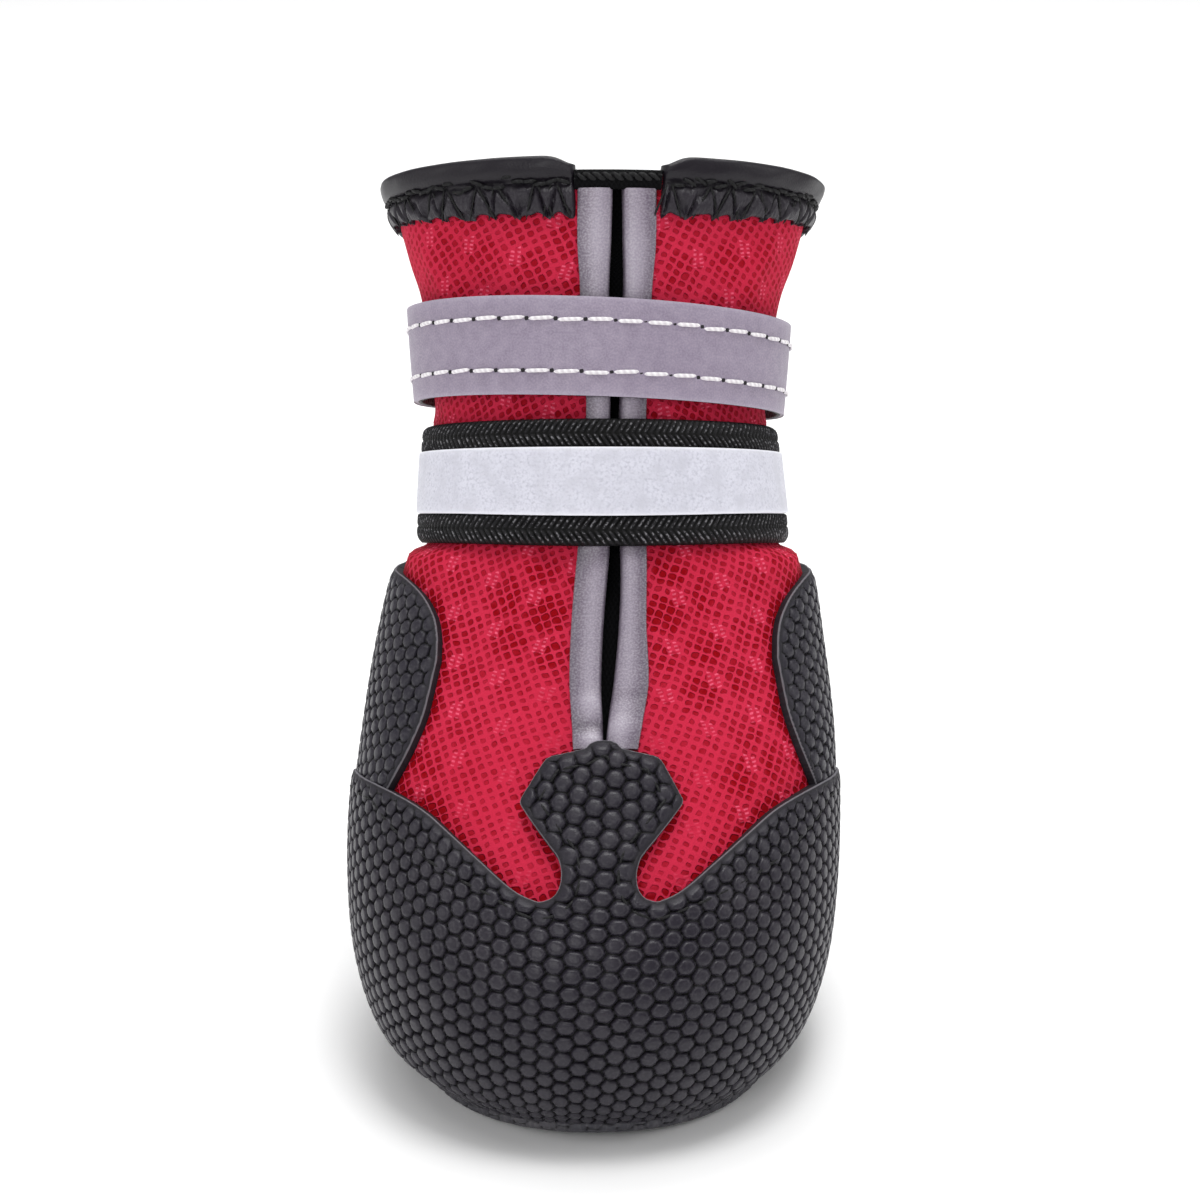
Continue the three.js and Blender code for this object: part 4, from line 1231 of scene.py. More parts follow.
# %% Reflective ribbon material
def ribbon(name, colour, shade, light, roughness, sparkle):
    material, recipe, sockets = new_material(name, roughness, Specular_IOR_Level=0.6)
    place = recipe.attribute("cloth")
    grain = recipe.group("Grain", Place=place, Size=0.3, Stretch=1.0)
    beads = recipe.step(grain["Fine"], 0.35, 0.7)
    worn = recipe.step(grain["Coarse"], 0.3, 0.7)
    tone = recipe.mix(worn, srgb(shade), srgb(colour))
    # Painted light: where fold is set the colour turns lighter, for the light on the slit tapes' folds and
    # along the grey strap's edges
    lit = recipe.mix(recipe.amount("fold"), tone, srgb(light))
    # Painted shade: darker towards the slit tape's outer edge and in the creases of its puckers
    lit = recipe.mix(recipe.amount("painted_shade"), lit, srgb("4f4653"))
    # The beads' sparkle is painted: pale specks in the colour stand in for glints of the glass beads
    sparkling = recipe.mix(recipe.times(beads, sparkle), lit, srgb("f2eef6"))
    recipe.feed(sockets["Base Color"], sparkling)
    recipe.feed(sockets["Roughness"], recipe.scaled(beads, -0.12, roughness))
    set_bump(recipe, sockets, grain["Fine"], 0.08, 0.7)
    return material


print("slit's foot at", round(float(skin(SLIT[0][1], SLIT_FOOT)[2]), 1), "mm up")
slit_ribbon = ribbon("slit_ribbon", "6b606e", "605465", "958c9a", 0.42, 0.14)

# %% Slit tapes
# The folded section: distance from the gap's edge, depth off the last
FOLDED = (
    (0, TAPE_WIDTH, CLEARANCE), (1, TAPE_WIDTH, CLEARANCE + 0.35), (2, TAPE_WIDTH - 0.35, CLEARANCE + 0.62),
    (3, TAPE_WIDTH * 0.62, CLEARANCE + 0.82), (4, TAPE_WIDTH * 0.3, CLEARANCE + 0.84),
    (5, 0.35, CLEARANCE + 0.5), (6, 0.0, -0.3), (7, 0.0, -1.6), (8, 0.35, -2.55),
    (9, TAPE_INSIDE * 0.5, -2.7), (10, TAPE_INSIDE, -2.66), (11, TAPE_INSIDE, -2.15),
    (12, TAPE_THICKNESS + 0.1, -2.12), (13, TAPE_THICKNESS, -1.5), (14, TAPE_THICKNESS, CLEARANCE - 0.3),
    (15, TAPE_THICKNESS + 0.3, CLEARANCE), (16, TAPE_WIDTH, CLEARANCE),
)
FOLD_FORWARD = 0.25
TAPE_FOOT = 0.0015
TAPE_ROWS, TAPE_COLUMNS = 170, 66
# The light line along the fold has a place, a reach and a strength, and the edge's shade has a reach
# and a strength
FOLD_LIGHT = (1.7, 1.3, 0.6)
EDGE_SHADE = (1.8, 0.75)
PUCKER_SHADE = 3.2
# The tape's breadth as a share of its full one, by level
TAPE_BREADTH = {
    -1: ((0.351, 0.90), (0.389, 0.94), (0.437, 0.96), (0.515, 0.96), (0.706, 0.74), (0.854, 0.88),
         (0.930, 1.02), (1.000, 1.07)),
    1: ((0.351, 0.97), (0.389, 1.05), (0.437, 0.80), (0.515, 0.78), (0.706, 0.78), (0.854, 0.83),
        (0.930, 0.97), (1.000, 1.02)),
}
# Puckers: side, level, half height in millimetres, depth
PUCKERS = ((-1, 0.3665, 0.8, -0.40), (-1, 0.357, 0.9, 0.22), (-1, 0.380, 1.1, 0.20), (1, 0.366, 1.2, 0.2),
           (1, 0.385, 1.0, -0.12), (1, 0.52, 2.0, -0.15),
           (-1, 0.50, 2.2, -0.15), (1, 0.90, 5.0, 0.15), (-1, 0.93, 5.0, 0.12))


# %% One slit tape
def slit_tape(side, name):
    levels = np.linspace(SLIT_FOOT + TAPE_FOOT, TAPE_TOP, TAPE_ROWS)
    section = smooth_row(FOLDED, np.linspace(0, FOLDED[-1][0], TAPE_COLUMNS))[:-1]
    run, depth = section.T
    breadth = smooth_row(TAPE_BREADTH[side], levels)
    run_grid, level_grid = np.broadcast_arrays((run - FOLD_FORWARD) * breadth, levels[:, None])
    turns = turn_beside(side * (slit_half(levels)[:, None] + run_grid), level_grid)
    _, upward = cloth_place(turns, level_grid)
    outside = np.clip(depth / CLEARANCE, 0, 1)
    relief = np.zeros(turns.shape)
    for pucker_side, level, height, rise in PUCKERS:
        if pucker_side == side:
            _, at = cloth_place(smooth_row(SLIT, level)[..., 0], level)
            relief += rise * np.exp(-(((upward - at) / height) ** 2))
    points = skin(turns, level_grid, depth + relief * outside)
    # The tape's colour gets a painted highlight along its fold, painted shade towards its outer edge, and
    # painted light and shade on the puckers' crowns and creases
    place, reach, strength = FOLD_LIGHT
    painted_fold_light = np.exp(-(((run - place) / reach) ** 2)) * outside * strength
    reach, strength = EDGE_SHADE
    painted_shade = np.clip((run - TAPE_WIDTH + reach) / reach, 0, 1) * outside
    fold = painted_fold_light - strength * painted_shade + np.clip(relief * PUCKER_SHADE, -1.3, 0.4) * outside
    cloth = cloth_grid(run_grid * side, upward)
    make_swept(name, points, [slit_ribbon], "shiny_tape", replaces=[name], cloth=cloth,
               amounts={"fold": np.clip(fold, 0, 1).ravel(), "painted_shade": np.clip(-fold, 0, 1).ravel()})


slit_tape(-1, "slit_binding_left")
slit_tape(1, "slit_binding_right")

# %% [markdown]
# ## The collar binding
# A padded black binding of coated cloth folds over the collar. Its upper half is a smooth roll. Below
# it a dark, messy seam holds it down, and zigzag thread pinches its lower flange into points. The
# whole section is swept round the collar, and the pinches are troughs at each needle point.

# %% Binding section
BINDING_DROP = 5.6
SEAM_RUN = 1.1
SCALLOP = 0.9
NEEDLE_PITCH = 4.3
BINDING_ROWS, BINDING_COLUMNS = 640, 73
BESIDE_TAPE = 0.1
# Each pinch: how wide and how deep its crease is, and how far the flange puffs up beside it
PINCH_WIDTH, PINCH_DEPTH, PUFF = 0.42, 0.95, 0.4
# How far the roll's ends round off, and the depth that they close at
END_ROUNDING, END_DEPTH = 0.6, -0.9
# At the sides the binding is sewn on higher, by this share of its drop
SIDE_RISE = 0.25
# How unevenly the needle points are spaced, as a share of their pitch
WAVER = 0.16
# Millimetres down from the collar's edge, depth off the last
BINDING = (
    (0, BINDING_DROP - 0.05, 0.12), (1, BINDING_DROP, 0.5), (2, 5.1, 0.85), (3, 3.9, 1.1), (4, 2.3, 1.1),
    (5, SEAM_RUN, 0.6), (6, 0.5, 1.15), (7, -0.4, 1.55), (8, -1.5, 1.6), (9, -2.3, 1.4), (10, -2.6, 0.6),
    (11, -2.5, -0.9), (12, -2.2, -2.0), (13, -1.2, -2.85), (14, 0.6, -3.15), (15, 2.6, -3.05),
    (16, 4.3, -2.75), (17, 4.9, -2.5), (18, 4.8, -2.2), (19, 3.0, -2.1), (20, -0.25, -2.1), (21, -0.32, -0.9),
    (22, -0.25, 0.3), (23, 3.0, 0.32), (24, BINDING_DROP - 0.05, 0.12),
)


def binding_point(turn, run, depth):
    """A point this far down from the collar's edge, or above it where run is below zero."""
    turn, run, depth = np.broadcast_arrays(turn, run, depth)
    top = sample(up_arc, turn, np.ones(turn.shape))
    slope = top - sample(up_arc, turn, np.full(turn.shape, 0.9))
    drawn_up = 1 - SIDE_RISE * np.sin(np.radians(turn)) ** 4
    level = 1 - 0.1 * np.maximum(run, 0) * drawn_up / slope
    above = up_the_last(turn, np.ones(turn.shape)) * np.maximum(-run, 0)[..., None]
    return skin(turn, level, depth) + above


# %% Coated cloth material
def coated_cloth():
    material, recipe, sockets = new_material("coated_cloth", 0.42, Specular_IOR_Level=0.28)
    place = recipe.attribute("cloth")
    grain = recipe.group("Grain", Place=place, Size=0.35, Stretch=1.0)
    low = recipe.amount("flange")
    # The flange gets a lighter copy of the roll's colour: painted light on the same cloth
    tone = recipe.mix(low, srgb("18141b"), srgb("252128"))
    dust = recipe.group("Dust", Place=place, Open=low, Amount=0.08)["Mask"]
    recipe.feed(sockets["Base Color"], recipe.mix(dust, tone, srgb("5d5a60")))
    recipe.feed(sockets["Roughness"], recipe.scaled(grain["Coarse"], 0.22, 0.3))
    creases = recipe.noise(recipe.vector("MULTIPLY", place, (1.0, 0.25, 1.0)), 1.4, 3.0)
    creased = recipe.times(creases, low)
    height = recipe.math("ADD", creased, recipe.times(grain["Fine"], 0.15))
    set_bump(recipe, sockets, height, 0.35)
    return material


binding_cloth = coated_cloth()
print("collar cloth:", binding_cloth.name)

# %% Needle places
reach = slit_half(1.0) + TAPE_WIDTH + BESIDE_TAPE
end_levels = np.linspace(0.93, 1, 5)
binding_right = turn_beside(reach, end_levels).max()
binding_left = turn_beside(-reach, end_levels).min() + 360
start, finish = (sample(round_arc, np.array([t]), np.array([1.0]))[0] for t in (binding_right, binding_left))
needle_count = int(round((finish - start) / NEEDLE_PITCH))
needle_pitch = (finish - start) / needle_count
print("needle points round the collar:", needle_count)
along = np.linspace(start, finish, BINDING_ROWS)
turns = turn_at(along, 1.0)
section = smooth_row(BINDING, np.linspace(0, BINDING[-1][0], BINDING_COLUMNS))[:-1]
run, depth = section.T
run, along_grid = np.broadcast_arrays(run, along[:, None])


def waver(along):
    return WAVER * (np.sin(0.7 * along) + 0.5 * np.sin(1.9 * along))


# %% Pinched flange and roll
needle = ((along_grid - start) / needle_pitch + waver(along_grid)) % 1
arch = np.sin(np.pi * needle) ** 0.8
outside = (depth > 0.05) & (run > 0)
below_seam = np.clip((run - SEAM_RUN) / (BINDING_DROP - SEAM_RUN), 0, 1) * outside
half_needle = np.abs(needle - 0.5)
crease = np.exp(-(((half_needle - 0.5 * below_seam) * needle_pitch / PINCH_WIDTH) ** 2)) * outside
crease *= np.clip((run - SEAM_RUN) / 0.8, 0, 1)
waves = 0.10 * np.sin(along_grid * 0.31 + 1) + 0.07 * np.sin(along_grid * 0.83 + run)
roll = np.clip((SEAM_RUN - run) / 2, 0, 1) * (depth > 0)
depths = depth + (PUFF - PINCH_DEPTH * crease) * np.clip(below_seam * 2.5, 0, 1) + waves * roll
runs = run - below_seam * arch * SCALLOP
ends = np.minimum(along_grid - start, finish - along_grid)
runs = np.where(run < 0, run * (1 - 0.5 * np.exp(-((ends / 2.2) ** 2))), runs)
shrink = np.sqrt(np.clip(1 - np.clip(1 - ends / END_ROUNDING, 0, 1) ** 2, 0.05, 1))
depths = END_DEPTH + (depths - END_DEPTH) * shrink

# %% Binding's padding
points = binding_point(turns[:, None], runs, depths)
roll_piece = make_swept("collar_binding", points, [binding_cloth], "padded_binding",
                        replaces=["collar_binding"], cloth=cloth_grid(along_grid, run),
                        amounts={"flange": np.clip(below_seam * 3, 0, 1).ravel()})

# %% Binding threads
SEED = 5
STITCH_STEPS = 9
# Name, which way it leans, radius
ZIGZAGS = (("down", 1, 0.2), ("up", -1, 0.17))
SEAM_THREAD = 0.27
SEAM_STITCH, SEAM_PITCH = 2.2, 1.6
chance = np.random.default_rng(SEED)


def on_binding(along, run, lift):
    turn = turn_at(along, 1.0)
    return binding_point(turn, run, lift), out_of_last(turn, np.full(np.shape(turn), 0.95))


peaks = start + (np.arange(needle_count) + 0.5) * needle_pitch
peaks -= needle_pitch * waver(peaks)
steps = np.linspace(0, 1, STITCH_STEPS)
for title, lean, radius in ZIGZAGS:
    foot = peaks + lean * needle_pitch / 2
    wander = chance.normal(0, 0.2, (needle_count, 1))
    runs = SEAM_RUN + 0.2 + (BINDING_DROP - SEAM_RUN - 0.35) * steps
    spread = peaks[:, None] + (foot - peaks)[:, None] * (0.12 + 0.88 * steps) + wander * (1 - steps)
    lift = 1.15 - 0.35 * steps**2 + 0.05 * np.sin(np.pi * steps)
    paths, outs = on_binding(spread, runs, lift)
    make_threads(f"binding_zigzag_{title}", paths, outs, radius, black_thread, "padded_binding")

# %% Binding's seam
seam_stitches = np.arange(start + 1.2, finish - 2.5, SEAM_PITCH)
spread = seam_stitches[:, None] + SEAM_STITCH * steps
shift, lean = chance.normal(0, 0.34, (2, len(seam_stitches), 1))
wander = shift + lean * 1.5 * (steps - 0.5)
lift = 0.85 + 0.45 * np.sin(np.pi * steps)
paths, outs = on_binding(spread, SEAM_RUN + wander, lift)
make_threads("binding_seam", paths, outs, SEAM_THREAD, black_thread, "padded_binding")

# %% Hem across the tapes
# Millimetres down from the collar's edge, depth off the last
HEM = ((0, 2.0, 0.4), (1, 1.9, 0.85), (2, 1.0, 1.05), (3, 0.1, 0.85), (4, -0.5, 0.2), (5, -0.65, -1.0),
       (6, -0.5, -2.1), (7, 0.2, -2.6), (8, 1.75, -2.7), (9, 1.75, -2.4), (10, -0.2, -2.05), (11, -0.3, -1.0),
       (12, -0.2, 0.25), (13, 1.5, 0.3), (14, 2.0, 0.4))
hem_steps = np.linspace(-reach - 0.5, reach + 0.5, 60)
run, depth = smooth_row(HEM, np.linspace(0, 14, 43))[:-1].T
hem_turns = turn_beside(hem_steps, 0.995)
points = binding_point(hem_turns[:, None], run, depth)
make_swept("gusset_hem", points, [black_knit()], "black_gusset",
           cloth=cloth_grid(hem_steps[:, None], run))

# %% Cords along the hem
for k, phase in enumerate((0.0, math.pi)):
    wound = hem_steps * 2.4 + phase
    points = binding_point(hem_turns, 0.5 + 0.3 * np.sin(wound), 0.85 + 0.25 * np.cos(wound))
    make_threads(f"gusset_cord_{k + 1}", points[None], out_of_last(hem_turns, 0.99)[None], 0.36,
                 black_thread, "black_gusset")

# %% [markdown]
# ## Straps
# Two bands go once round the shaft and lap over themselves at the back, where hook and loop hold them.
# Each is straight between its lower and upper edge, as a stiff ribbon lies on a tapering leg, so its
# surface is ruled between two lines on the last. The grey one stands off at the sides, and the black
# one draws the shaft in.

# %% Strap places
STRAP_END = 140.0
STRAP_OVERLAP = 42.0
STRAP_LIFT = 50.0
STRAP_THICKNESS = 1.2
UPPER_STRAP_DIP = 0.009
BAND_STEP = 0.8


# %% Strap surface
def strap_point(span, dip, slack, turn, share, depth):
    turn, share, depth = np.broadcast_arrays(turn, share, depth)
    lap = np.clip((turn - (STRAP_END + 360 - STRAP_LIFT)) / STRAP_LIFT, 0, 1)
    rise = eased(lap) * (STRAP_THICKNESS + CLEARANCE)
    angle = np.radians(turn)
    offset = ON_TAPES + rise + depth
    side = at_sides(turn)
    low = skin(turn, span[0] - dip * np.sin(angle), offset + side * slack[0])
    high = skin(turn, span[1] - dip * np.sin(angle), offset + side * slack[1])
    return low + (high - low) * share[..., None]


def upper_strap_point(turn, share, depth):
    return strap_point(UPPER_STRAP_SPAN, UPPER_STRAP_DIP, UPPER_STRAP_SLACK, turn, share, depth)


def lower_strap_point(turn, share, depth):
    return strap_point(LOWER_STRAP_SPAN, 0.0, LOWER_STRAP_SLACK, turn, share, depth)


# %% Strap lengths
def turns_along(place, share, start, finish, spacing):
    """Turns that lie this many millimetres apart along a strap."""
    turns = np.linspace(start, finish, 900)
    line = place(turns, share, STRAP_THICKNESS)
    arc = lengths_along(line)
    count = int(round(arc[-1] / spacing)) + 1
    at = np.linspace(0, arc[-1], count)
    return np.interp(at, arc, turns), at


def height_of(place):
    return float(np.linalg.norm(place(0.0, 1.0, 0.0) - place(0.0, 0.0, 0.0)))


strap_finish = STRAP_END + 360 + STRAP_OVERLAP
print("strap heights:", round(height_of(upper_strap_point), 1), round(height_of(lower_strap_point), 1), "mm")

# %% Grey ribbon material
grey_ribbon = ribbon("grey_ribbon", "8e8295", "82768a", "a59aac", 0.55, 0.08)


# %% Hook tape material
def hook_tape():
    material, recipe, sockets = new_material("hook_tape", 0.8, Sheen_Weight=0.3)
    place = recipe.attribute("cloth")
    hooks = recipe.add("TexVoronoi", {"Vector": place, "Scale": 1.6}).outputs["Distance"]
    recipe.feed(sockets["Base Color"], recipe.mix(hooks, srgb("2a292d"), srgb("0e0e10")))
    set_bump(recipe, sockets, hooks, 0.3)
    return material


hooks = hook_tape()

# %% Grey strap's band
# Rounded section of a band: share of its height, share of its thickness
BAND = ((0, 0.0, 0.5), (1, 0.012, 0.9), (2, 0.04, 1.0), (3, 0.5, 1.03), (4, 0.96, 1.0), (5, 0.988, 0.9),
        (6, 1.0, 0.5), (7, 0.988, 0.1), (8, 0.96, 0.0), (9, 0.5, 0.0), (10, 0.04, 0.0), (11, 0.012, 0.1),
        (12, 0.0, 0.5))
turns, at = turns_along(upper_strap_point, 0.5, STRAP_END, strap_finish, BAND_STEP)
section = smooth_row(BAND, np.linspace(0, BAND[-1][0], 49))[:-1]
share, depth = section.T
outside = depth > 0.5
wave = 0.1 * np.sin(at * 0.12 + 0.6)[:, None] * outside
points = upper_strap_point(turns[:, None], share, depth * STRAP_THICKNESS + wave)
height = height_of(upper_strap_point)
# Painted highlight along both edges of the band, passed to the colour as fold
rim_light = np.exp(-((np.minimum(share, 1 - share) * height / 0.5) ** 2)) * 0.6
faces_round = len(share)
picks = np.tile(np.where(outside | np.roll(outside, -1), 0, 1), len(turns) - 1)
make_swept("upper_strap", points, [grey_ribbon, hooks], "grey_strap", replaces=["upper_strap"],
           cloth=cloth_grid(at[:, None], share * height),
           amounts={"fold": np.broadcast_to(rim_light, points.shape[:2]).ravel()},
           picks=np.r_[picks, 0, 0])

# %% Grey strap's stitches and needle holes
STITCH_PITCH = 4.3
STITCH_LENGTH = 3.7
STITCH_RADIUS = 0.3
STITCH_ROWS = (0.245, 0.77)
STITCH_LEVEL = 0.79
HOLE_LENGTH = 0.62
needle_black, recipe, sockets = new_material("needle_hole", 0.9)
sockets["Base Color"].default_value = srgb("1c191d")
stitch_paths, stitch_outs, hole_paths, hole_outs = [], [], [], []
for row, share in enumerate(STITCH_ROWS):
    turns, at = turns_along(upper_strap_point, share, STRAP_END + STRAP_OVERLAP + 6, strap_finish - 4, 0.1)
    starts = np.arange(at[0] + 1 + row * 1.7, at[-1] - STITCH_PITCH, STITCH_PITCH)
    shake = chance.normal(0, 0.0045, (len(starts), 2))
    place = starts[:, None] + STITCH_LENGTH * steps
    turn = np.interp(place, at, turns)
    drift = shake[:, :1] + (steps - 0.5) * (0.012 + shake[:, 1:])
    lift = STRAP_THICKNESS + 0.27 * np.sin(np.pi * steps) ** 0.5 - 0.02
    stitch_paths.append(upper_strap_point(turn, share + drift, lift))
    stitch_outs.append(out_of_last(turn, np.full(turn.shape, STITCH_LEVEL)))
    gap = starts[:, None] - (STITCH_PITCH - STITCH_LENGTH) / 2 + HOLE_LENGTH * (steps - 0.5)
    turn = np.interp(gap, at, turns)
    hole_paths.append(upper_strap_point(turn, share + 0.01 * (steps - 0.5), STRAP_THICKNESS + 0.06))
    hole_outs.append(out_of_last(turn, np.full(turn.shape, STITCH_LEVEL)))
make_threads("upper_strap_stitches", np.concatenate(stitch_paths), np.concatenate(stitch_outs),
             STITCH_RADIUS, white_thread, "grey_strap")
make_threads("upper_strap_needle_holes", np.concatenate(hole_paths), np.concatenate(hole_outs),
             STITCH_RADIUS, needle_black, "grey_strap", squash=0.25)

# %% [markdown]
# ## Black webbing and silver tape
# The lower band is woven webbing. Each of its black edges shows two rows of short slanted ribs, a
# herringbone. They catch the light one by one, so they are relief in a fine grid, and their colour
# holds painted glints on the rib tops and painted shade in the gaps between them. The silver tape
# sewn over its middle is retroreflective: pale and finely mottled, with a painted highlight along its
# edges.

# %% Webbing material
REFLECTIVE_SPAN = (0.558, 0.6595)
RIB_PITCH = 0.95
RIB_RELIEF = 0.42
RIB_MEAN = 0.35
RIB_STEP = 0.127


def webbing():
    material, recipe, sockets = new_material("webbing", 0.5, Specular_IOR_Level=0.2)
    place = recipe.attribute("cloth")
    rib = recipe.step(recipe.amount("rib"), 0.2, 0.9)
    grain = recipe.group("Grain", Place=place, Size=0.18, Stretch=1.0)
    # Gaps between ribs are coloured near black: painted shade between the ribs
    tone = recipe.mix(rib, srgb("010101"), srgb("1b1a1d"))
    # Painted glints: pale flecks on the rib tops stand in for highlights
    glint = recipe.step(recipe.noise(place, 1.9, 2.0), 0.5, 0.62)
    painted_glints = recipe.times(recipe.step(recipe.amount("rib"), 0.6, 0.95), glint)
    recipe.feed(sockets["Base Color"], recipe.mix(recipe.times(painted_glints, 0.8), tone, srgb("858488")))
    set_bump(recipe, sockets, grain["Fine"], 0.15)
    return material


# %% Ribs of the webbing
band_height = height_of(lower_strap_point)
span = LOWER_STRAP_SPAN[1] - LOWER_STRAP_SPAN[0]
tape_low, tape_high = ((level - LOWER_STRAP_SPAN[0]) / span for level in REFLECTIVE_SPAN)


def rib_height(along, share):
    """Herringbone ribs in two rows beside the tape, from 0 to 1."""
    height = np.zeros(np.broadcast_shapes(along.shape, share.shape))
    for low, high in ((0.0, tape_low), (tape_high, 1.0)):
        middle = (low + high) / 2
        for start, end, slant in ((low, middle, 1), (middle, high, -1)):
            across = (share - (start + end) / 2) / ((end - start) / 2)
            row = np.clip(1 - across**4, 0, 1) * (np.abs(across) < 1)
            lean = slant * across * (end - start) * band_height * 0.35
            ridge = 0.5 + 0.5 * np.cos(2 * np.pi * (along + lean) / RIB_PITCH)
            height = np.maximum(height, row**0.5 * ridge**0.7)
    return height


# %% Black strap
turns, at = turns_along(lower_strap_point, 0.5, STRAP_END, strap_finish, RIB_STEP)
edge_round = np.array([0.0, 0.03, 0.1, 0.25, 0.45, 0.75])
outer_share = np.r_[np.linspace(0.006, tape_low, 17), np.linspace(tape_low, tape_high, 6)[1:-1],
                    np.linspace(tape_high, 0.994, 15)]
outer_depth = 1 - 0.45 * np.exp(-np.minimum(outer_share, 1 - outer_share) * band_height / 0.45)
share = np.r_[0.0, outer_share, 1.0, 0.97, 0.5, 0.03]
depth = np.r_[0.4, outer_depth, 0.4, 0.05, 0.0, 0.05]
ribs = rib_height(at[:, None], share) * (depth > 0.5)
pulled = 0.08 * np.sin(at * 0.21)[:, None] * (depth > 0.5)
ribbed = RIB_RELIEF * (ribs - RIB_MEAN) * (depth > 0.5)
points = lower_strap_point(turns[:, None], share, depth * STRAP_THICKNESS + ribbed)
points += pulled[..., None] * 0.3
make_swept("lower_strap", points, [webbing()], "black_webbing", replaces=["lower_strap"],
           cloth=cloth_grid(at[:, None], share * band_height),
           amounts={"rib": ribs.ravel()})

# %% Silver tape material
def silver():
    material, recipe, sockets = new_material("silver", 0.5, Specular_IOR_Level=0.6)
    place = recipe.attribute("cloth")
    cells = recipe.add("TexVoronoi", {"Vector": place, "Scale": 2.6}).outputs["Distance"]
    grain = recipe.group("Grain", Place=place, Size=0.5, Stretch=1.0)
    mottle = recipe.times(recipe.step(cells, 0.2, 0.8), recipe.step(grain["Fine"], 0.3, 0.75))
    tone = recipe.mix(mottle, srgb("d2d2dd"), srgb("b4b4c1"))
    cloudy = recipe.mix(recipe.step(grain["Coarse"], 0.35, 0.75), tone, srgb("c2c2cd"))
    # Painted highlight: where fold is set the colour turns paler, along the tape's edges
    recipe.feed(sockets["Base Color"], recipe.mix(recipe.amount("fold"), cloudy, srgb("e6e6ee")))
    recipe.feed(sockets["Roughness"], recipe.scaled(mottle, 0.18, 0.42))
    set_bump(recipe, sockets, mottle, 0.06, 0.7)
    return material


# %% Silver tape's band
TAPE_FROM = STRAP_END + STRAP_OVERLAP + 9
TAPE_SHORT = 3
TAPE_GAP = 0.12
SILVER_THICKNESS = 0.4
turns, at = turns_along(lower_strap_point, 0.5, TAPE_FROM, strap_finish - TAPE_SHORT, BAND_STEP)
share, depth = section.T
tape_share = tape_low + (tape_high - tape_low) * share
height = (tape_high - tape_low) * band_height
points = lower_strap_point(turns[:, None], tape_share, STRAP_THICKNESS + TAPE_GAP + depth * SILVER_THICKNESS)
# Painted highlight along both edges of the tape
rim_light = np.exp(-((np.minimum(share, 1 - share) * height / 0.3) ** 2))
make_swept("reflective_tape", points, [silver()], "silver_tape", replaces=["reflective_tape"],
           cloth=cloth_grid(at[:, None], share * height),
           amounts={"fold": np.broadcast_to(rim_light, points.shape[:2]).ravel()})

# %% [markdown]
# ## Stitches round the cap
# The cap is sewn down about 2.4 mm inside its edge in black thread, which shows as a broken row of
# dark loops and squashed pillows. The row is found by walking inside the outline, and points that come
# too near another stretch of it, as in a corner, are dropped.

# %% Cap stitches
SEWN_IN = 2.4
WALK_STEP = 0.005
CAP_STITCH_PITCH = 3.1
CAP_STITCH_LENGTH = 2.3


def inner_line(outline, distance):
    """Places this far inside an outline that runs round the left of its inside."""
    closed = np.concatenate([outline, outline[:1]])
    lengths = lengths_along(last_point(*closed.T))
    at = np.arange(0, lengths[-1], 0.25)
    line = np.stack([np.interp(at, lengths, column) for column in closed.T], -1)
    turn, level = line.T
    around = last_point(turn + TURN_STEP, level) - last_point(turn - TURN_STEP, level)
    per_turn = np.linalg.norm(around, axis=-1)
    low, high = np.maximum(level - WALK_STEP, 0), level + WALK_STEP
    per_level = np.linalg.norm(last_point(turn, high) - last_point(turn, low), axis=-1)
    per_level = np.maximum(per_level / (high - low), 1)
    flat = np.gradient(line, axis=0) * np.stack([per_turn, per_level], -1)
    normal = unit(np.stack([-flat[:, 1], flat[:, 0]], -1)) / np.stack([per_turn, per_level], -1)
    moved = line + normal * distance
    fair = distance_to(last_point(*moved.T), last_point(*line.T)) > distance * 0.93
    return moved[fair & (moved[:, 1] > 0.01) & (line[:, 1] > 0.1)]


# %% Black stitches
sewn = inner_line(cap_shape, SEWN_IN)
points = last_point(*sewn.T)
arc = lengths_along(points)
starts = np.arange(0.5, arc[-1] - 3, CAP_STITCH_PITCH)
at = starts[:, None] + CAP_STITCH_LENGTH * steps
turn, level = (np.interp(at, arc, column) for column in sewn.T)
lift = RIM_REACH - 0.03 + 0.14 * np.sin(np.pi * steps) + chance.normal(0, 0.05, (len(starts), 1))
make_threads("toe_cap_stitches", skin(turn, level, lift), out_of_last(turn, level), 0.2, black_thread,
             "bumpy_rubber")

# %% [markdown]
# ## Sole and insole
# The sole is the same pressed rubber turned under: its pillows carry on over the rim, and the
# underside has shallow chevron grooves for grip between flat stretches that meet the floor. Inside
# lies a thin padded insole. Both could stay as packed, but their rims would show facets.

# %% Sole material
GROOVE_WIDTH = 1.8
GROOVE_DEPTH = 1.0
GROOVE_PITCH = 8.0
# The rim from the top down: share of the sole's thickness inward, share of the rim's height
RIM = ((0, 0.00, 1.00), (1, 0.07, 0.55), (2, 0.28, 0.18), (3, 0.60, 0.00))
SOLE_COLUMNS = 420
RIM_ROWS, UNDER_ROWS = 16, 64
GROOVE_SLOPE = 0.35
# No groove comes nearer the rim than this, and each ends over a short slope
GROOVE_MARGIN, GROOVE_END = 2.2, 0.6
LIP = 0.15


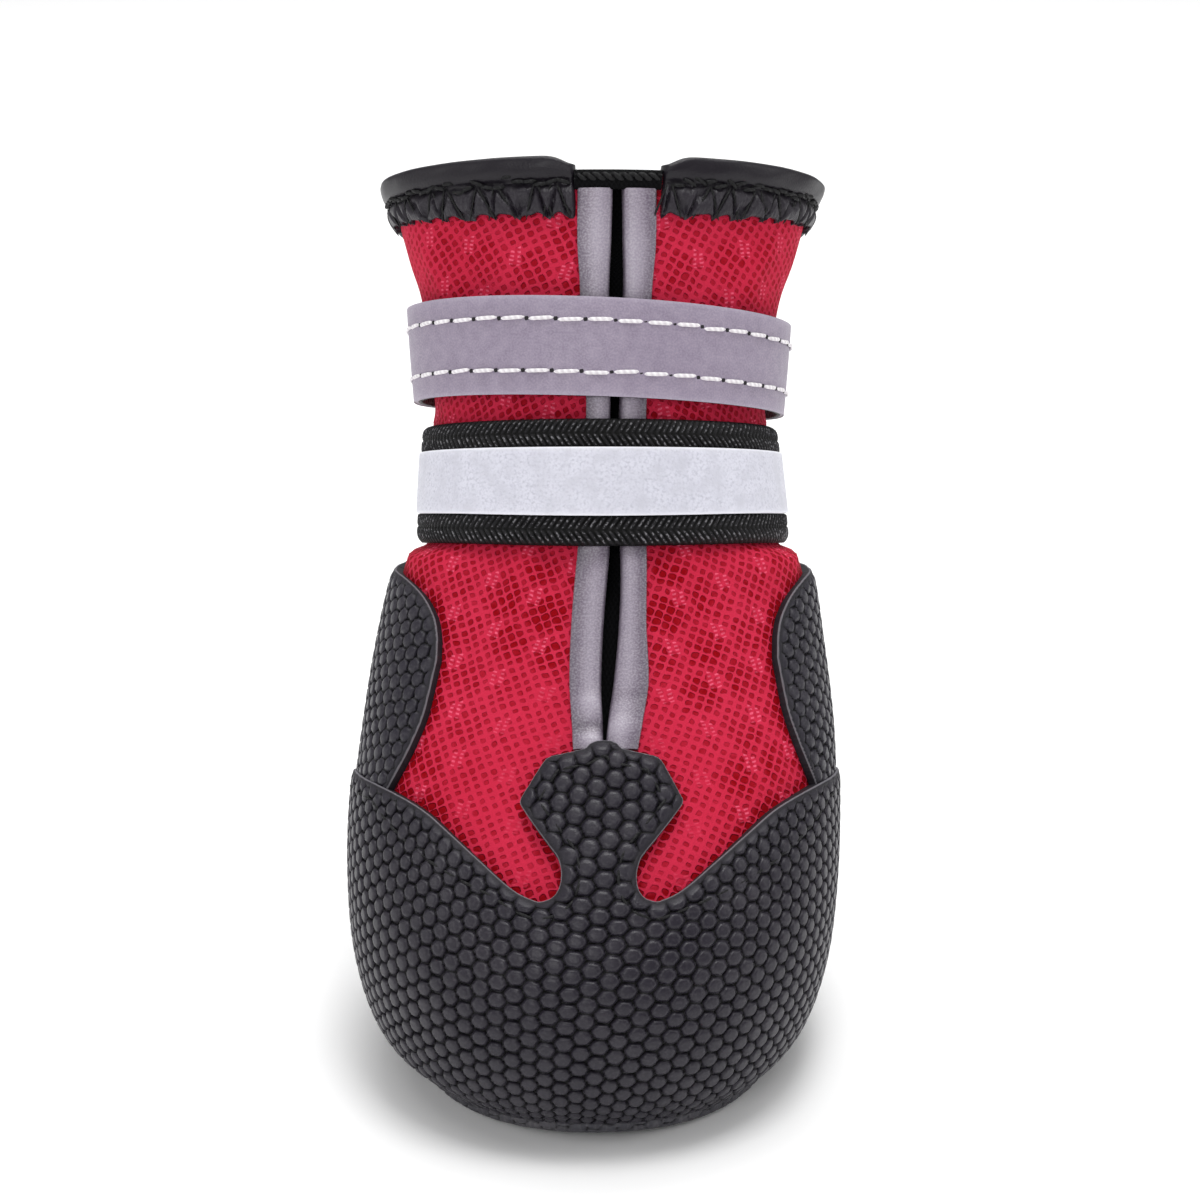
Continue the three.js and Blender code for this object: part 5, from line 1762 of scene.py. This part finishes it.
def sole_rubber():
    material, recipe, sockets = new_material("sole_rubber", 0.6)
    place = recipe.attribute("cloth")
    grain = recipe.group("Grain", Place=place, Size=0.25, Stretch=1.0)
    tread = recipe.group("Honeycomb", Place=place, Pitch=1.6, Lean=0.0)["Middle"]
    raised = recipe.step(tread, 0.08, 0.3)
    high = recipe.step(recipe.amount("pillow"), 0.05, 0.75)
    # Grooves and the gaps between the rim's pillows are coloured darker than the raised rubber: painted shade
    # in the recesses
    tone = recipe.mix(high, srgb("161519"), srgb("34333a"))
    dust = recipe.group("Dust", Place=place, Open=high, Amount=0.16)["Mask"]
    recipe.feed(sockets["Base Color"], recipe.mix(dust, tone, srgb("807b7e")))
    recipe.feed(sockets["Roughness"], recipe.scaled(grain["Fine"], 0.15, 0.5))
    under = recipe.times(raised, recipe.amount("under"))
    set_bump(recipe, sockets, recipe.scaled(grain["Fine"], 0.2, under), 0.25)
    return material


# %% Sole's rim
turns = np.arange(SOLE_COLUMNS) * 360 / SOLE_COLUMNS
zeros = np.zeros(SOLE_COLUMNS)
out = out_of_last(turns, zeros)
up = up_the_last(turns, zeros)
lips = last_point(turns, zeros) + RIM_REACH * out - LIP * up
flat_out = unit(out * (1, 1, 0))
around, _ = cloth_place(turns, 0.0)
rows, row_pillow = [], []
rim_inward, rim_height = smooth_row(RIM, np.linspace(0, RIM[-1][0], RIM_ROWS)).T
below = 0.0
for inward, share in zip(rim_inward, rim_height):
    point = lips - flat_out * inward * SOLE_THICKNESS
    floor = spring_at(point[:, 1])
    point[:, 2] = floor + (lips[:, 2] - spring_at(lips[:, 1])) * share
    if rows:
        below -= np.linalg.norm((point - rows[-1])[SOLE_COLUMNS // 4])
    fade = np.clip(share * 2.2, 0, 1)
    high = pillows((around, np.full(SOLE_COLUMNS, below)))
    rows.append(point)
    row_pillow.append(high * fade + (1 - fade) * 0.8)
for row, high, share in zip(rows, row_pillow, rim_height):
    row += flat_out * ((high - MEAN_HEIGHT) * PILLOW_RELIEF * min(1, share * 2.2))[:, None]

# %% Grooves underneath
rim_ring = rows[-1]
spine = rim_ring.copy()
spine[:, 0] = last_point(0.0, 0.0)[0]
spine[:, 1] = np.clip(spine[:, 1], SPRING_RUN, rim_ring[:, 1].max() - SPRING_RUN)
under_rows, under_high = [], []
for share in np.linspace(0, 1, UNDER_ROWS)[1:]:
    point = rim_ring + (spine - rim_ring) * share
    along_sole = point[:, 1] - np.abs(point[:, 0] - spine[:, 0]) / rim_ring[:, 0].max() * GROOVE_PITCH / 2
    phase = (along_sole - SPRING_RUN - GROOVE_WIDTH) % GROOVE_PITCH
    wall = np.clip(np.minimum(phase, GROOVE_WIDTH - phase) / GROOVE_SLOPE, 0, 1)
    edge = np.linalg.norm(point - rim_ring, axis=-1)
    wall *= np.clip((edge - GROOVE_MARGIN) / GROOVE_END, 0, 1) * (along_sole > SPRING_RUN)
    wall *= along_sole < rim_ring[:, 1].max() - GROOVE_PITCH
    point[:, 2] = spring_at(point[:, 1]) + GROOVE_DEPTH * wall
    under_rows.append(point)
    under_high.append(1 - wall)

# %% Sole in one piece
inner_top = last_point(turns, zeros) - CLEARANCE * up
all_rows = np.array([inner_top, *rows, *under_rows])
pillow = np.concatenate([zeros + 0.5, *row_pillow, *under_high])
under = np.concatenate([np.zeros((1 + len(rows)) * SOLE_COLUMNS), np.ones(len(under_rows) * SOLE_COLUMNS)])
faces = grid_faces(len(all_rows), SOLE_COLUMNS, round_columns=True)[:, ::-1]
cloth = all_rows[..., :2].copy()
lid = [list(range(SOLE_COLUMNS))]
make_piece("sole", all_rows, [faces, lid], [sole_rubber()], "sole_rubber", ["sole"],
           cloth=cloth, amounts={"pillow": pillow, "under": under})

# %% Insole material
INSOLE_THICKNESS = 2.0
INSOLE_COLUMNS = 200
INSOLE_FIT = 0.1
# The insole's middle line runs between these places along the foot
INSOLE_MIDDLE = (25, 62)
DISHED = 0.5


def insole_cloth():
    material, recipe, sockets = new_material("insole_cloth", 0.9, Sheen_Weight=0.3)
    place = recipe.attribute("cloth")
    weave = recipe.parts(recipe.vector("MULTIPLY", place, (5.0, 5.0, 1.0)))
    cross = recipe.times(recipe.math("SINE", weave[0]), recipe.math("SINE", weave[1]))
    height = recipe.scaled(cross, 0.5, 0.5)
    recipe.feed(sockets["Base Color"], recipe.mix(height, srgb("1b1b1f"), srgb("2e2d33")))
    set_bump(recipe, sockets, height, 0.2)
    return material


# %% Insole's dish
turns = np.arange(INSOLE_COLUMNS) * 360 / INSOLE_COLUMNS
ring = skin(turns, 0.0, -UPPER_WALL - CLEARANCE - INSOLE_FIT)
middle = ring.copy()
middle[:, 0] = ring[:, 0].mean()
middle[:, 1] = np.clip(ring[:, 1], *INSOLE_MIDDLE)
rows = []
for share, height in ((0.3, 0.0), (0.0, 0.0), (0.0, 0.7), (0.03, 0.95), (0.1, 1.0)):
    point = ring + (middle - ring) * share
    point[:, 2] = UPPER_FOOT + INSOLE_THICKNESS * height + spring_at(point[:, 1])
    rows.append(point)
for share in np.linspace(0.15, 1, 16):
    point = ring + (middle - ring) * share
    point[:, 2] = UPPER_FOOT + INSOLE_THICKNESS - DISHED * share**2 + spring_at(point[:, 1])
    rows.append(point)
rows = np.array(rows)
sides, ends = swept_faces(len(rows), INSOLE_COLUMNS)
make_piece("insole", rows, [sides, ends[:1]], [insole_cloth()], "insole_fabric", ["insole"],
           cloth=rows[..., :2])

# %% [markdown]
# ## Floor and light
# The boot stands on a plain pale floor under soft studio light: a broad key in front, a smaller lamp
# straight above that draws an arc on each pillow, two strips that draw a faint rim and one lamp behind
# that keeps the far floor white. A sun lamp would give hard shadows that the product shot does not
# have, unless it is as wide as a cloudy sky, which is what lights the floor evenly here. The world is
# pale too, so that the coated cloth has something to mirror.

# %% Floor
floor_mesh = bpy.data.meshes.new("floor")
FLOOR_HALF = 6.0
corners = [(-FLOOR_HALF, -FLOOR_HALF, 0), (FLOOR_HALF, -FLOOR_HALF, 0), (FLOOR_HALF, FLOOR_HALF, 0),
           (-FLOOR_HALF, FLOOR_HALF, 0)]
floor_mesh.from_pydata(corners, [], [(0, 1, 2, 3)])
PAPER_WHITE = 0.94
paper, recipe, sockets = new_material("paper", 0.9)
sockets["Base Color"].default_value = (PAPER_WHITE, PAPER_WHITE, PAPER_WHITE, 1)
floor_mesh.materials.append(paper)
floor = bpy.data.objects.new("floor", floor_mesh)
bpy.context.scene.collection.objects.link(floor)

# %% Lights
# Name, place, aim height, size, watts
LAMPS = (
    ("key", (-0.45, -1.7, 1.0), 0.07, 0.7, 8.5),
    ("top", (0.15, -0.15, 1.5), 0.05, 0.5, 8.0),
    ("left_strip", (-1.0, -0.2, 0.45), 0.05, 0.5, 1.6),
    ("right_strip", (0.95, -0.1, 0.55), 0.05, 0.5, 1.9),
    ("far_floor", (0.0, 0.75, 1.3), -2.0, 0.9, 7.0),
)
for name, place, aim_height, size, watts in LAMPS:
    lamp = bpy.data.lights.new(name, "AREA")
    lamp.size = size
    lamp.energy = watts
    holder = bpy.data.objects.new(name, lamp)
    holder.location = place
    toward = Vector((0, 0, aim_height)) - Vector(place)
    holder.rotation_euler = toward.to_track_quat("-Z", "Y").to_euler()
    bpy.context.scene.collection.objects.link(holder)

SKY_STRENGTH = 1.15
SKY_BREADTH = math.radians(75)
SKY_TILT = math.radians(-14)
sky = bpy.data.lights.new("sky", "SUN")
sky.energy = SKY_STRENGTH
sky.angle = SKY_BREADTH
holder = bpy.data.objects.new("sky", sky)
holder.rotation_euler = (SKY_TILT, 0, 0)
bpy.context.scene.collection.objects.link(holder)

# %% World
# The first number lights the boot, and the second is what the camera sees behind the floor.
WORLD_LIGHT, WORLD_SEEN = 0.36, 0.9
world = bpy.data.worlds.new("studio")
world.use_nodes = True
recipe = Recipe(world.node_tree)
seen = recipe.add("LightPath").outputs["Is Camera Ray"]
strength = recipe.between(seen, WORLD_LIGHT, WORLD_SEEN)
background = world.node_tree.nodes["Background"].inputs
background["Color"].default_value = (1, 1, 1, 1)
recipe.feed(background["Strength"], strength)
bpy.context.scene.world = world
print("lamps:", [lamp.name for lamp in bpy.data.lights])
bpy.context.scene.view_settings.view_transform = "Standard"
